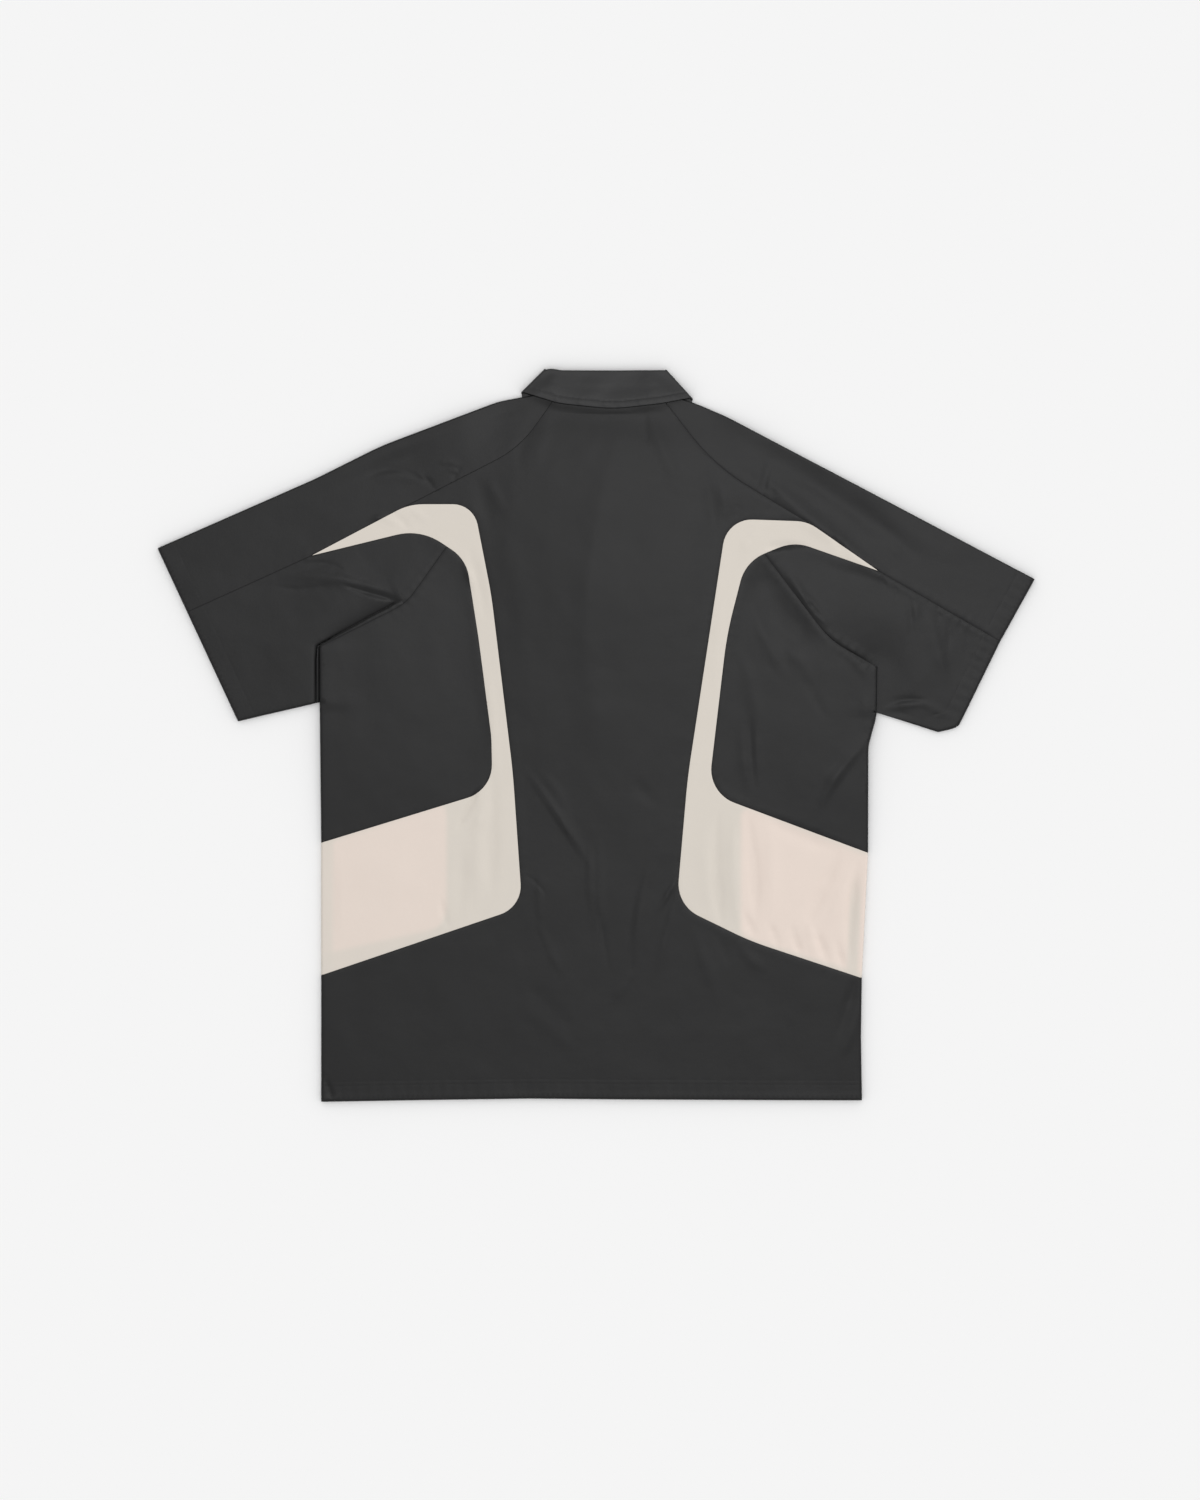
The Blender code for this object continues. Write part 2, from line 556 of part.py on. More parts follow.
stand_reach = CLOTH / 2 + LAYER / 2
stand_slope, foot_back, foot_front, stand_fold = {}, {}, {}, {}
for side in ("left", "right"):
    top, foot, at_back, at_front = [np.array((r.x, r.y)) for r in STAND_SLOPE[side]]
    stand_slope[side] = np.array([top, foot])
    foot_back[side] = np.array([foot, split(neck_back, at_back)[0][-1]])
    foot_front[side] = np.array([foot, split(neck_front, at_front)[0][-1]])
    stand_fold[side] = rounded(STAND_FRONT[side])
neck_stand = split(split(neck_back, foot_back["left"][1])[1], foot_back["right"][1])[0]
back_stand = sewn(np.array([stand_slope["left"][0], stand_slope["right"][0]])) + [
    (stand_slope["right"], stand_reach, True)] + sewn(foot_back["right"], back_of(neck_stand),
                                                      back_of(foot_back["left"])) + [
    (back_of(stand_slope["left"]), stand_reach, True)]
front_stands = []
for side, centre_x in (("left", 14.0), ("right", 16.0)):
    line = neck_front if side == "left" else back_of(neck_front)
    line = split(split(line, foot_front[side][1])[1], (centre_x, 286.0))[0]
    front_stands.append(sewn(stand_fold[side], np.array([stand_fold[side][-1], line[-1]]), back_of(line),
                             back_of(foot_front[side])) + [(back_of(stand_slope[side]), stand_reach, True)])
piece("collar_stand", [(back_stand, level(CLOTH / 2 + 2 * LAYER), [], WHOLE)]
      + [(stand, level(CLOTH / 2 + LAYER), [], WHOLE) for stand in front_stands], COLLAR, LAYER / 2)

# ---- the placket and its buttons ------------------------------------------------------------------------------------
centre, top_y = PLACKET_LIFT.x0, 281.0
x0, x1, y1 = centre - PLACKET_WIDTH / 2, centre + PLACKET_WIDTH / 2, top_y - PLACKET_LENGTH
strip = np.array([(x0, top_y), (x1, top_y), (x1, y1), (x0, y1), (x0, top_y)])
piece("placket", [(sewn(strip), level(BUTTON_THICKNESS + GAP + CLOTH / 2), [], WHOLE)], CHARCOAL)

for number in (1, 2, 3):
    r, t = BUTTON_DIAMETER / 2, BUTTON_THICKNESS
    profile = [(0, t), (r - 0.5, t), (r, t - 0.4), (r, 0.5), (r - 0.5, 0), (r - 1.4, 0), (r - 1.9, 0.35), (0, 0.35)]
    bm = bmesh.new()
    verts = [bm.verts.new((px * MM, 0, pz * MM)) for px, pz in profile]
    for p, q in zip(verts[:-1], verts[1:]):
        bm.edges.new((p, q))
    name = f"button_{number}"
    mesh = bpy.data.meshes.new(name)
    bm.to_mesh(mesh)
    bm.free()
    button = bpy.data.objects.new(name, mesh)
    SHIRT.objects.link(button)
    button.parent = LAY
    button.location = (centre * MM, (top_y - 16 - (number - 1) * BUTTON_STEP) * MM, 0)
    lathe = button.modifiers.new("turned", "SCREW")
    lathe.steps = lathe.render_steps = 14
    lathe.use_merge_vertices = True
    lathe.merge_threshold = 0.0001
    lathe.use_normal_calculate = True
    mesh.materials.append(material(name, BUTTON, 0.45))
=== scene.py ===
"""Looks of the polo shirt that lies flat on its front, seen from straight above.

Each cut-and-sewn piece is a thin shell of cloth on the form of its solid: the same seam lines and the same heights of
the lay, with the creases, seams, hems and stitches on top. Tables are in millimetres: +X right, +Y to the collar, +Z up.
"""

import json
import math
from collections import namedtuple

import bpy
import numpy as np
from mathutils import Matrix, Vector, noise
from mathutils.geometry import delaunay_2d_cdt

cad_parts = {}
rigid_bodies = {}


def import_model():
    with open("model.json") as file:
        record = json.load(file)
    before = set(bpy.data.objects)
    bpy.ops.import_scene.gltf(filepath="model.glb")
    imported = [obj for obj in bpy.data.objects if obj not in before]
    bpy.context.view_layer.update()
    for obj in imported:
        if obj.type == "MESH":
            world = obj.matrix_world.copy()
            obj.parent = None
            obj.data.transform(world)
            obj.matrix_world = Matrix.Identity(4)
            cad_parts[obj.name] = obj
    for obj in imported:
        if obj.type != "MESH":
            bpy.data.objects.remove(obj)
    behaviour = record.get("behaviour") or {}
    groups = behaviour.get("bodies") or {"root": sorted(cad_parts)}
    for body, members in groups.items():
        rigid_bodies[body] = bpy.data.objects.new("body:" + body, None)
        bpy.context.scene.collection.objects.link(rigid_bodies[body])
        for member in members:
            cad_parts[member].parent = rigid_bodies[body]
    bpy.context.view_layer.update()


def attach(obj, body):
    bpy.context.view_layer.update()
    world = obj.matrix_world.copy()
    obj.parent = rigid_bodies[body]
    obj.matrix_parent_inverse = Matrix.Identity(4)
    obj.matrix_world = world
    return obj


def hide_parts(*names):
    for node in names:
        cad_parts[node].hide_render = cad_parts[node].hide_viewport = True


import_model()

MM = 0.001

# ---- sizes of the lay (mm) ------------------------------------------------------------------------------------------
CLOTH = 1.0
GAP = 0.3
SEAM = GAP / 2
LAYER = CLOTH + GAP
PUFF, PUFF_REACH = 2.4, 60.0
FOLD_PUFF = 1.1
FOLD_REACH = 1.2
LEAF_LEVEL = 4.7
EDGE_ROLL = 3.0        # the rounded rise of the upper cloth at every edge, which falls away inside
LEAF_CLOTH = 1.7       # the collar is two layers, sewn and turned
LEAF_REACH = 1.6
PLACKET_WIDTH, PLACKET_LENGTH = 32.0, 172.0
BUTTON_DIAMETER, BUTTON_THICKNESS, BUTTON_STEP = 11.0, 1.5, 56.0
HEM_DEPTH = 20.5       # turned-up hem, edge to the upper of its two rows of stitches
HEM_ROWS = (16.4, 20.6)
CUFF_DEPTH = 19.5
CUFF_ROWS = (18.8,)
CUFF_SHARE = (0.35, 1.2)   # how much of the hem's thickness shows at the left cuff and at the right one

RIM = 0.10             # how far a cut edge bulges
SEWN = RIM + 0.03      # from a seam's line to the cloth's edge: sewn edges almost touch

FINE = 2.7      # spacing of cloth points on the side that shows
PLAIN = 4.6     # and on the side that lies down
RINGS = (0.45, 1.0, 1.8, 3.0, 4.8)     # rows of points that follow an outline, by distance from it

# ---- seam and edge lines: corners, each with the radius that rounds it ------------------------------------------------
P = namedtuple("P", "x y r")

SHOULDER = {
    "left": [P(-64, 364.5, 0), P(-105, 356.7, 80), P(-230, 309.5, 300), P(-300, 274.5, 400), P(-469.2, 200.1, 0)],
    "right": [P(88, 361.5, 0), P(112, 352.6, 60), P(140, 340.5, 120), P(300, 256.5, 500), P(469.2, 167, 0)],
}
CUFF = {
    "left": [P(-469.2, 200.1, 0), P(-383.1, 15, 0)],
    "right": [P(469.2, 167, 0), P(432.5, 101, 60), P(387, 8, 12), P(366, 3.5, 0)],
}
UNDERARM = {
    "left": [P(-383.1, 15, 0), P(-295.4, 35.4, 0), P(-268.6, 41.8, 0)],
    "right": [P(366, 3.5, 0), P(300, 24, 60), P(272, 33, 0)],
}
SLEEVE_END = {"left": P(-436.6, 132, 0), "right": P(432, 100.4, 0)}
PIT = {"left": P(-295.9, 94.2, 0), "right": P(300.6, 72.5, 0)}
SIDE = {
    "left": [PIT["left"], P(-295.4, 35.4, 0), P(-293.9, -115.2, 0), P(-293.9, -257, 0), P(-293.9, -392, 7)],
    "right": [PIT["right"], P(299.8, 20, 40), P(291, -12, 40), P(290.8, -126, 0), P(284.1, -260, 0), P(283.2, -324, 60),
              P(284.2, -390.6, 7)],
}
HEM = [P(-293.9, -392.2, 7), P(-180, -390.2, 0), P(-70, -388.7, 0), P(26, -389.6, 0), P(200, -390.4, 0),
       P(284.2, -390.6, 7)]
BAND_TOP = {"left": P(-293.9, -115.2, 0), "right": P(290.8, -126, 0)}
BAND_BOTTOM = {"left": P(-293.9, -257, 0), "right": P(284.1, -260, 0)}
RAGLAN = {
    "left": [P(-44.5, 360, 0), P(-82, 307, 120), P(-206.2, 243.4, 0)],
    "right": [P(72.6, 358, 0), P(127, 287.5, 220), P(229, 226, 0)],
}
OUTER = {
    "left": [P(-304.6, 191.8, 0), P(-200, 247, 60), P(-131, 247, 27), P(-112, 150, 500), P(-89, -40, 800),
             P(-79, -184, 32), P(-293.9, -257, 0)],
    "right": [P(302.2, 175.4, 0), P(226, 228.5, 40), P(140, 231.5, 31), P(98, -45, 700), P(86, -182, 38),
              P(165, -220.5, 300), P(284.1, -260, 0)],
}
INNER = {
    "left": [P(-304.6, 191.8, 0), P(-188, 220.5, 60), P(-139, 188, 42), P(-126, 105, 500), P(-112, -2, 120),
             P(-111, -59, 45), P(-293.9, -115.2, 0)],
    "right": [P(302.2, 175.4, 0), P(212, 207, 44), P(160, 186, 44), P(140, 108, 400), P(120, -62, 38),
              P(290.8, -126, 0)],
}
ARMHOLE = {
    "left": [P(-158.7, 203.5, 0), P(-203, 141, 60), PIT["left"]],
    "right": [P(178, 196.5, 0), P(250, 102, 90), PIT["right"]],
}
NECK_BACK = [P(-64, 364.5, 0), P(-44.5, 360, 0), P(15, 354, 400), P(72.6, 358, 0), P(88, 361.5, 0)]
NECK_FRONT = [P(-64, 364.5, 0), P(-58, 298, 50), P(15, 283, 120), P(84, 296, 50), P(88, 361.5, 0)]
RAGLAN_FRONT = {"left": [P(-61.7, 339, 0), P(-140, 215, 300), P(-200, 133, 70), PIT["left"]],
                "right": [P(86.4, 335, 0), P(165, 205, 300), P(246, 95, 90), PIT["right"]]}
FRONT_BAND = {
    "left": [P(-293.9, -115.2, 0), P(-160, -67, 12), P(-160, -206, 34), P(-293.9, -257, 0)],
    "right": [P(290.8, -126, 0), P(155, -70, 12), P(155, -224, 20), P(284.1, -260, 0)],
}
LEAF_TOP = [P(-56, 390.8, 4), P(-48, 392.2, 12), P(-36, 390.4, 0), P(20, 390.2, 0), P(75.4, 390.6, 0)]
LEAF_SLOPE = {"left": [P(-56, 390.8, 0), P(-79.5, 367.2, 0)], "right": [P(75.4, 390.6, 0), P(102.5, 360.9, 0)]}
LEAF_LOW = [P(-79.5, 367.2, 0), P(-68, 363.6, 20), P(-40, 354.8, 90), P(18, 348.8, 160), P(70, 354.6, 200),
            P(102.5, 360.9, 0)]
LEAF_FRONT = {
    "left": [P(-79.5, 367.2, 0), P(-79.5, 330, 60), P(-50, 254, 0), P(12.5, 314, 0), P(-34, 334, 60), P(-56, 390.8, 0)],
    "right": [P(102.5, 360.9, 0), P(106, 326, 60), P(80, 254, 0), P(17.5, 314, 0), P(62, 334, 60), P(75.4, 390.6, 0)],
}
STAND_SLOPE = {
    "left": [P(-50, 388.5, 0), P(-61, 369.5, 0), P(-57, 363, 0), P(-63.6, 357, 0)],
    "right": [P(70, 388.5, 0), P(84, 367.5, 0), P(80, 359.6, 0), P(87.6, 354, 0)],
}
STAND_FRONT = {
    "left": [P(-50, 388.5, 0), P(-32, 337, 60), P(14, 316, 0)],
    "right": [P(70, 388.5, 0), P(60, 337, 60), P(16, 316, 0)],
}

# ---- heights of the lay ----------------------------------------------------------------------------------------------
Lift = namedtuple("Lift", "x0 y0 x1 y1 core reach height")
PIT_LIFT = [
    Lift(-288, 88, -280, 45, 40, 170, 2 * LAYER),
    Lift(293, 66, 286, 32, 40, 170, 2 * LAYER),
]
NECK_LIFT = Lift(-20, 325, 52, 325, 86, 150, LAYER)
PLACKET_LIFT = Lift(17, 256, 17, 130, 46, 108, BUTTON_THICKNESS + GAP + LAYER)
# the upper layer comes down from these lifts more slowly: towards the collar, sideways and towards the hem
NECK_SPREAD, PLACKET_SPREAD = (1.0, 1.6, 2.6), (1.0, 1.9, 3.4)

# the sleeve on the left folds down along this line, from the end of its tuck to the underarm, beside the armhole seam:
# how wide its slope is, what share of it is a sharp drop, and the swell beyond; below the armpit it drops at once
DROP_WIDTH, DROP_SHARP, DROP_SWELL = 10.0, 0.30, 1.5
BESIDE_WIDTH, BESIDE_SWELL = 0.8, 1.0
DROP = np.array([(-207, 144), (-214.3, 141.2), (-222, 136.3), (-232.8, 130.9), (-243, 125.6), (-251.1, 120.9),
                 (-262, 114.8), (-269.3, 110.9), (-287.4, 100.7), (-298, 94.8), (-299, 80), (-299, 33)])
# the edge of the body stands over the sleeve below the armpit: ends of the stretch, and its height
PIT_EDGE = {"left": (94, 33, 1.0), "right": (72, 26, 0.7)}
# the corner of each sleeve that lies under the body, how far outside it the sleeve has its full height and its full
# lift, and how far from the armhole seam it is lifted with the body
CORNER = {"left": np.array([(-295.7, 93), (-295.2, 34), (-267, 41), (-295.7, 93)]),
          "right": np.array([(300.4, 71), (300, 23), (270, 32), (300.4, 71)])}
CORNER_REACH = {"left": (2.6, 2.6, 62.0), "right": (30.0, 130.0, 104.0)}
CORNER_CALM = 72.0     # how far from the right one the roll of the edges comes back

# ---- creases of the back, placed one by one: start, middle and end, half width, height, and lean ------------------------
# A ridge has a height above 0 and a trough one below. Lean above 0 makes the left of its direction steeper.
Crease = namedtuple("Crease", "name x0 y0 xm ym x1 y1 width height lean")
CREASES = [Crease(row.split()[0], *(float(v) for v in row.split()[1:])) for row in """
    shoulder_roll_left           -317    259   -229    302   -139    333      8   0.44      0
    shoulder_dip_left            -283    262   -210    292   -143    316      9  -0.61      0
    sleeve_left_upper            -250    270   -216    278   -178    275      6   0.50    0.2
    sleeve_left_upper_line       -243    276   -213    284   -176    266      3  -0.39      0
    sleeve_left_bend             -187    280   -180    273   -172    263      3  -0.50      0
    sleeve_left_pucker_a         -169    290   -158    292   -147    288    3.0   0.33      0
    sleeve_left_pucker_b         -163    281   -154    283   -146    278    2.6   0.28      0
    sleeve_left_raglan_a         -152    270   -150    279   -143    288    2.6  -0.33      0
    neck_side_left               -118    352   -101    359    -84    362      4   0.50      0
    neck_side_left_low           -111    341    -92    349    -73    354      6  -0.44      0
    tip_left_a                   -313  183.6   -284  182.5   -267  171.2      3  -0.50    0.2
    tip_left_b                   -300    176   -281    175   -262    166      4   0.39      0
    tuck_left_ridge              -340    168   -285    169   -216    149      6    1.1    0.3
    tuck_left_under              -346    160   -317    156   -283    161    2.8   -0.5      0
    tuck_left_line               -270    160   -240    151   -207    142    2.8   -2.2   -0.3
    sleeve_left_low              -357    102   -333     80   -317     48     14   0.28      0
    sleeve_left_mid              -409    155   -370    145   -327    132     16   0.22      0
    side_left_high               -274     75   -261     38   -263    -16     12   0.28      0
    side_left_mid                -178    123   -167     59   -154     -5     16   0.22      0
    shoulder_dip_right            150    318    236    266    345    190     15   -2.0      0
    shoulder_long_right           172    282    250    214    325    158      9    1.9      0
    shoulder_long_right_b         200    276    262    238    316    196      6   0.50      0
    shoulder_second_right         297    222    317    203    334    184      5   0.55      0
    shoulder_pucker_right         177    255    181    274    184    293      4  -0.72      0
    shoulder_pucker_right_b       190    250    189    266    193    281    3.5  -0.39      0
    sleeve_right_pucker_a         338    155    342    138    344    119      4   0.42      0
    sleeve_right_pucker_b         334    149    337    118    335     86    3.4  -0.42      0
    sleeve_right_pucker_c         356    136    364     99    376     58      7   0.75    0.2
    sleeve_right_pucker_d         375    127    378    110    377     88    3.4  -0.37      0
    sleeve_right_pucker_e         396    119    398    102    394     82    3.4  -0.28      0
    sleeve_right_pucker_f         413    108    411     93    404     76      4   0.28      0
    sleeve_right_tick_a           306    170    308    163    309    155    2.4  -0.33      0
    sleeve_right_tick_b           319    163    321    155    321    146    2.4  -0.33      0
    sleeve_right_tick_c           366    139    367    131    366    122    2.4  -0.33      0
    sleeve_right_tick_d           389    127    390    119    389    110    2.4  -0.28      0
    armhole_right_hollow          174    180    198    128    238     94     19   -2.8      0
    armhole_right_ridge           200    186    219    151    250    115      5    1.6   -0.3
    armhole_right_inner           222    150    231    137    243    124    2.6   -1.2      0
    armhole_right_light           248    111    272     94    300     76      4   0.61      0
    sleeve_right_inner_dip        233    189    263    174    300    166      7  -0.50      0
    sleeve_right_low_fold         297     29    324     37    351     38    2.8  -0.99      0
    sleeve_right_low_ridge        300     25    322     31    350     32    3.4   0.72      0
    sleeve_right_low_fold_b       302     19    322     23    340     20    2.8  -0.44      0
    sleeve_right_low_light        345     36    362     28    378     18      5   0.50      0
    sleeve_right_mid              272    145    285    112    289     80     10   0.20      0
    side_right_streak_a           167    138    182    102    203     63      7   0.66      0
    side_right_streak_b           152     91    167     48    175     -5      8   0.55      0
    side_right_streak_c           193    110    218     76    231     33      7   0.55      0
    side_right_streak_d           213     84    228     50    246     18      6  -0.50      0
    side_right_light_a            156     20    158    -18    163    -59      6   0.55      0
    side_right_light_b            172     16    172    -18    175    -52      4   0.39      0
    side_right_light_dip          164     18    165    -18    169    -56      4  -0.39      0
    side_right_diag               293     -3    257    -44    240    -82      7   1.32   0.25
    side_right_diag_dip           282     -6    249    -43    230    -78      5  -0.44      0
    side_right_edge               289    -18    288    -37    286    -61      4  -0.55      0
    side_right_pit_a              261     91    280     76    295     55      5   0.61      0
    side_right_pit_b              285     48    289     25    291     -1      5   0.44      0
    back_centre_low                -6    102     -4     38      4    -27     16   0.50      0
    back_top_right                 51    350     68    316     86    266      8   0.71      0
    back_top_right_dip             55    348     52    330     57    311      4  -0.47      0
    back_right_dip_a              116    284    122    252    128    213      7  -0.66      0
    back_right_ridge              133    271    137    252    141    230      5   0.50      0
    back_right_dip_b              152    256    152    243    150    224    4.5  -0.39      0
    back_left_dip_a              -128    278   -121    252   -110    222      8  -0.45      0
    back_left_ridge_a            -116    275   -107    256    -96    237      5   0.39      0
    back_left_dip_b               -56    350    -78    312    -81    280      7  -0.43      0
    back_left_ridge_b             -44    346    -60    310    -62    282      8   0.31      0
    back_left_long                -90    209    -81    145    -73     59     14   0.33      0
    back_right_long               101    187     94    123     81     38     14   0.44      0
    back_right_diag                36    -44     52    -62     68    -78      7  -0.33      0
    neck_line                     -45    346    -14  343.4     41    344    1.5  -0.28      0
    low_main_crease             -73.3  -40.9  -37.3  -92.9   -6.3 -140.9    4.6   0.85  -0.45
    low_main_ridge                -64    -36    -42    -61    -27    -95      5   0.45      0
    low_main_low                   -7   -118     -7   -152     -5   -190    4.4   0.50  -0.25
    low_centre_crest                2   -106      5   -170     -2   -238      5   0.48    0.2
    low_centre_trough               1   -182      7   -214     13   -250    3.2  -0.36      0
    low_left_trough               -76   -150    -64   -158    -54   -171    2.6  -0.29      0
    low_left_ridge                -60   -146    -61   -170    -60   -198      4   0.34   -0.2
    low_left_ridge_b              -62   -200    -52   -226    -36   -256      5   0.36   -0.2
    low_left_trough_b             -66   -188    -58   -216    -42   -240    4.5  -0.12      0
    low_left_far                  -77   -256    -58   -284    -28   -307      9  -0.34      0
    low_left_far_ridge            -75   -294    -51   -314    -24   -334      8   0.28      0
    low_right_ridge                67   -116     47   -184     43   -256      6   0.66  -0.25
    low_right_ridge_dip            50   -140     38   -188     36   -246    3.6  -0.12      0
    low_right_ridge_end            43   -250     33   -264     20   -285      5   0.41      0
    low_right_corner_a             88   -151     79   -166     67   -186      3   0.66   -0.2
    low_right_corner_b             84   -158     75   -189     59   -229      4  -0.24      0
    low_right_corner_c             86   -168     77   -207     65   -258      4   0.45      0
    low_band_right_a              106   -208    115   -237    130   -281      8   0.49      0
    low_band_right_b              126   -206    135   -226    143   -247      5  -0.37      0
    low_band_right_c              149   -213    166   -240    189   -254      6   0.41      0
    hem_right_trough              280   -256    270   -288    259   -322      6  -0.83      0
    hem_right_ridge               287   -283    274   -316    259   -348      6   0.66      0
    hem_left_crease              -291   -363   -286   -378   -280   -395      3  -0.66      0
    hem_left_soft                -253   -283   -220   -316   -210   -358     20   0.28      0
    back_low_left_soft           -188   -241   -156   -283   -135   -337     20   0.28      0
    back_low_right_soft           154   -283    167   -316    175   -358     18   0.28      0
    cream_left_corner          -125.8    -55   -131    -69   -146    -96    3.2   -3.2      0
    cream_left_corner_b          -116    -58   -121    -82   -133   -108      7    1.8      0
    cream_left_fold              -142   -118   -144   -155   -146   -192      7   -1.8      0
    cream_left_long              -111    -40   -112   -112   -113   -176      8   -2.4      0
    cream_left_long_b            -125    -78   -126   -125   -127   -180      7    1.2      0
    cream_left_small             -165   -174   -163   -190   -158   -206    3.6  -1.61      0
    cream_left_bow               -263   -134   -210   -155   -178   -176   21.6   1.03      0
    cream_left_edge              -283   -108   -281   -166   -281   -236    4.8  -0.92      0
    cream_left_hook_a            -242    230   -227    232   -212    224    3.6   0.92      0
    cream_left_hook_b            -218    237   -208    230   -199    219    3.6  -0.92      0
    cream_left_hook_c            -201    241   -191    237   -180    228    3.6   0.80      0
    cream_left_hook_in           -137    202   -126    166   -118    123    4.8  -1.49      0
    cream_left_hook_in_b         -143    187   -135    170   -128    151    3.6   0.92      0
    cream_left_slim              -116     70   -109      5   -106    -50    4.8   1.03      0
    cream_right_fold_a            130    -90    128   -150    135   -208      6   -3.6   -0.2
    cream_right_ridge_a           118    -84    118   -130    122   -190     11    1.2      0
    cream_right_ridge_b           149    -84    148   -138    152   -204      6    2.2    0.2
    cream_right_fold_b            163    -88    169   -146    171   -204      6   -2.9      0
    cream_right_ridge_c           186    -96    188   -150    187   -200      8    1.2      0
    cream_right_diag              261   -126    242   -166    223   -204      7   -3.2      0
    cream_right_diag_ridge        273   -140    262   -172    248   -206      6    1.2      0
    cream_right_diag_dip          280   -138    273   -192    272   -244    5.5   -3.6      0
    cream_right_top_dip           186    -92    222   -110    258   -122      8   -1.9      0
    cream_right_seam_a            158   -188    163   -200    170   -216      4   -2.0      0
    cream_right_seam_b            184   -200    190   -212    195   -228      4   -1.8      0
    cream_right_seam_c            210   -202    213   -218    220   -236    4.2   -2.2      0
    cream_right_seam_d            236   -208    242   -226    249   -246    4.4   -2.2      0
    cream_right_seam_f            222   -192    228   -208    235   -238      5    1.4      0
    cream_right_seam_e            258   -218    261   -234    265   -252      4   -2.0      0
    cream_right_crest             175    198    199    203    225    203    4.2  -1.72      0
    cream_right_crest_b           182    228    167    213    156    192      6   1.03      0
    cream_right_tip               250    215    259    204    270    192    4.2  -1.15      0
    cream_right_slim              137    145    130    102    126     48    4.8   0.92      0
""".strip().splitlines()]

# broad folds with a sharp crest, each with its height and how far it falls away on the left and right of its direction
Fold = namedtuple("Fold", "name x0 y0 xm ym x1 y1 height left right")
FOLDS = [
    Fold("back_centre_tent", 36, 345, 1, 230, -12, 70, 2.9, 110, 44),
    Fold("back_left_tent", -74, 330, -92, 236, -100, 120, 0.6, 40, 30),
    Fold("sleeve_right_tent", 322, 150, 330, 112, 338, 62, 0.4, 24, 20),
]

# creases of the face-down side, which lift off the surface
UNDER_CREASES = [Crease(row.split()[0], *(float(v) for v in row.split()[1:])) for row in """
    chest_left                  -180   120  -150    60  -140     0     11   0.8     0
    chest_right                  170    95   150    40   146   -30     10   0.7     0
    waist_left                  -120  -110  -100  -170   -92  -230     10   0.8     0
    waist_centre                  12   -40    20  -110     6  -190     11   0.9   0.2
    waist_right                  110  -120    96  -180   100  -250      9   0.7     0
    hem_front_left              -220  -250  -200  -300  -196  -350     12   0.6     0
    hem_front_right              196  -240   180  -290   184  -345     11   0.6     0
    sleeve_front_left           -330   150  -372   130  -410   120      9   0.7     0
    sleeve_front_right           340   130   376   108   402    92      9   0.7     0
""".strip().splitlines()]


# ---- working out lines ------------------------------------------------------------------------------------------------
def spaced(line, step):
    """The polyline with extra points, so that none are further apart than the step."""
    out = [line[0]]
    for a, b in zip(line[:-1], line[1:]):
        n = max(1, math.ceil(np.linalg.norm(b - a) / step))
        out += [a + (b - a) * (k / n) for k in range(1, n + 1)]
    return np.array(out)


def rounded(rows, step=FINE):
    """The finely spaced line through the rows, each corner turned on an arc of its radius."""
    pts = [np.array((r.x, r.y), float) for r in rows]
    out = []
    for i, row in enumerate(rows):
        if row.r <= 0 or i in (0, len(rows) - 1):
            out.append(pts[i])
            continue
        a, b, c = pts[i - 1], pts[i], pts[i + 1]
        u, v = a - b, c - b
        lu, lv = np.linalg.norm(u), np.linalg.norm(v)
        u, v = u / lu, v / lv
        turn = math.pi - math.acos(float(np.clip(u @ v, -1, 1)))
        if turn < math.radians(0.5):
            out.append(b)
            continue
        reach = min(row.r * math.tan(turn / 2), 0.49 * lu, 0.49 * lv)
        radius = reach / math.tan(turn / 2)
        sides = max(2, math.ceil(turn / math.radians(12)), math.ceil(radius * turn / 5))
        start, end = b + u * reach, b + v * reach
        middle = b + (u + v) / np.linalg.norm(u + v) * math.hypot(reach, radius)
        s, e = start - middle, end - middle
        total = math.acos(float(np.clip(s @ e / (radius * radius), -1, 1)))
        for k in range(sides + 1):
            f = k / sides
            out.append(middle + (s * math.sin((1 - f) * total) + e * math.sin(f * total)) / math.sin(total))
    return spaced(np.array(out), step)


def split(line, point):
    """A polyline in two, at its place nearest to the point."""
    q = np.array((point.x, point.y)) if hasattr(point, "x") else np.asarray(point)
    best = None
    for i in range(len(line) - 1):
        a, b = line[i], line[i + 1]
        t = float(np.clip((q - a) @ (b - a) / ((b - a) @ (b - a)), 0, 1))
        d = np.linalg.norm(a + t * (b - a) - q)
        if best is None or d < best[0]:
            best = (d, i, a + t * (b - a))
    _, i, at = best
    head = [p for p in line[:i + 1] if np.linalg.norm(p - at) > 0.5] + [at]
    tail = [at] + [p for p in line[i + 1:] if np.linalg.norm(p - at) > 0.5]
    return np.array(head), np.array(tail)


def ending(line, at, first=False):
    line = np.array(line)
    line[0 if first else -1] = at
    return line


def back_of(line):
    return line[::-1]


def curve(row, n=16):
    """Points on the curve through a crease's start, middle and end, and a little past both ends."""
    a, m, b = np.array((row.x0, row.y0)), np.array((row.xm, row.ym)), np.array((row.x1, row.y1))
    c = 2 * m - (a + b) / 2
    t = np.linspace(-0.12, 1.12, n + 1)[:, None]
    return (1 - t) ** 2 * a + 2 * t * (1 - t) * c + t * t * b


def smooth(t):
    t = np.clip(t, 0, 1)
    return t * t * (3 - 2 * t)


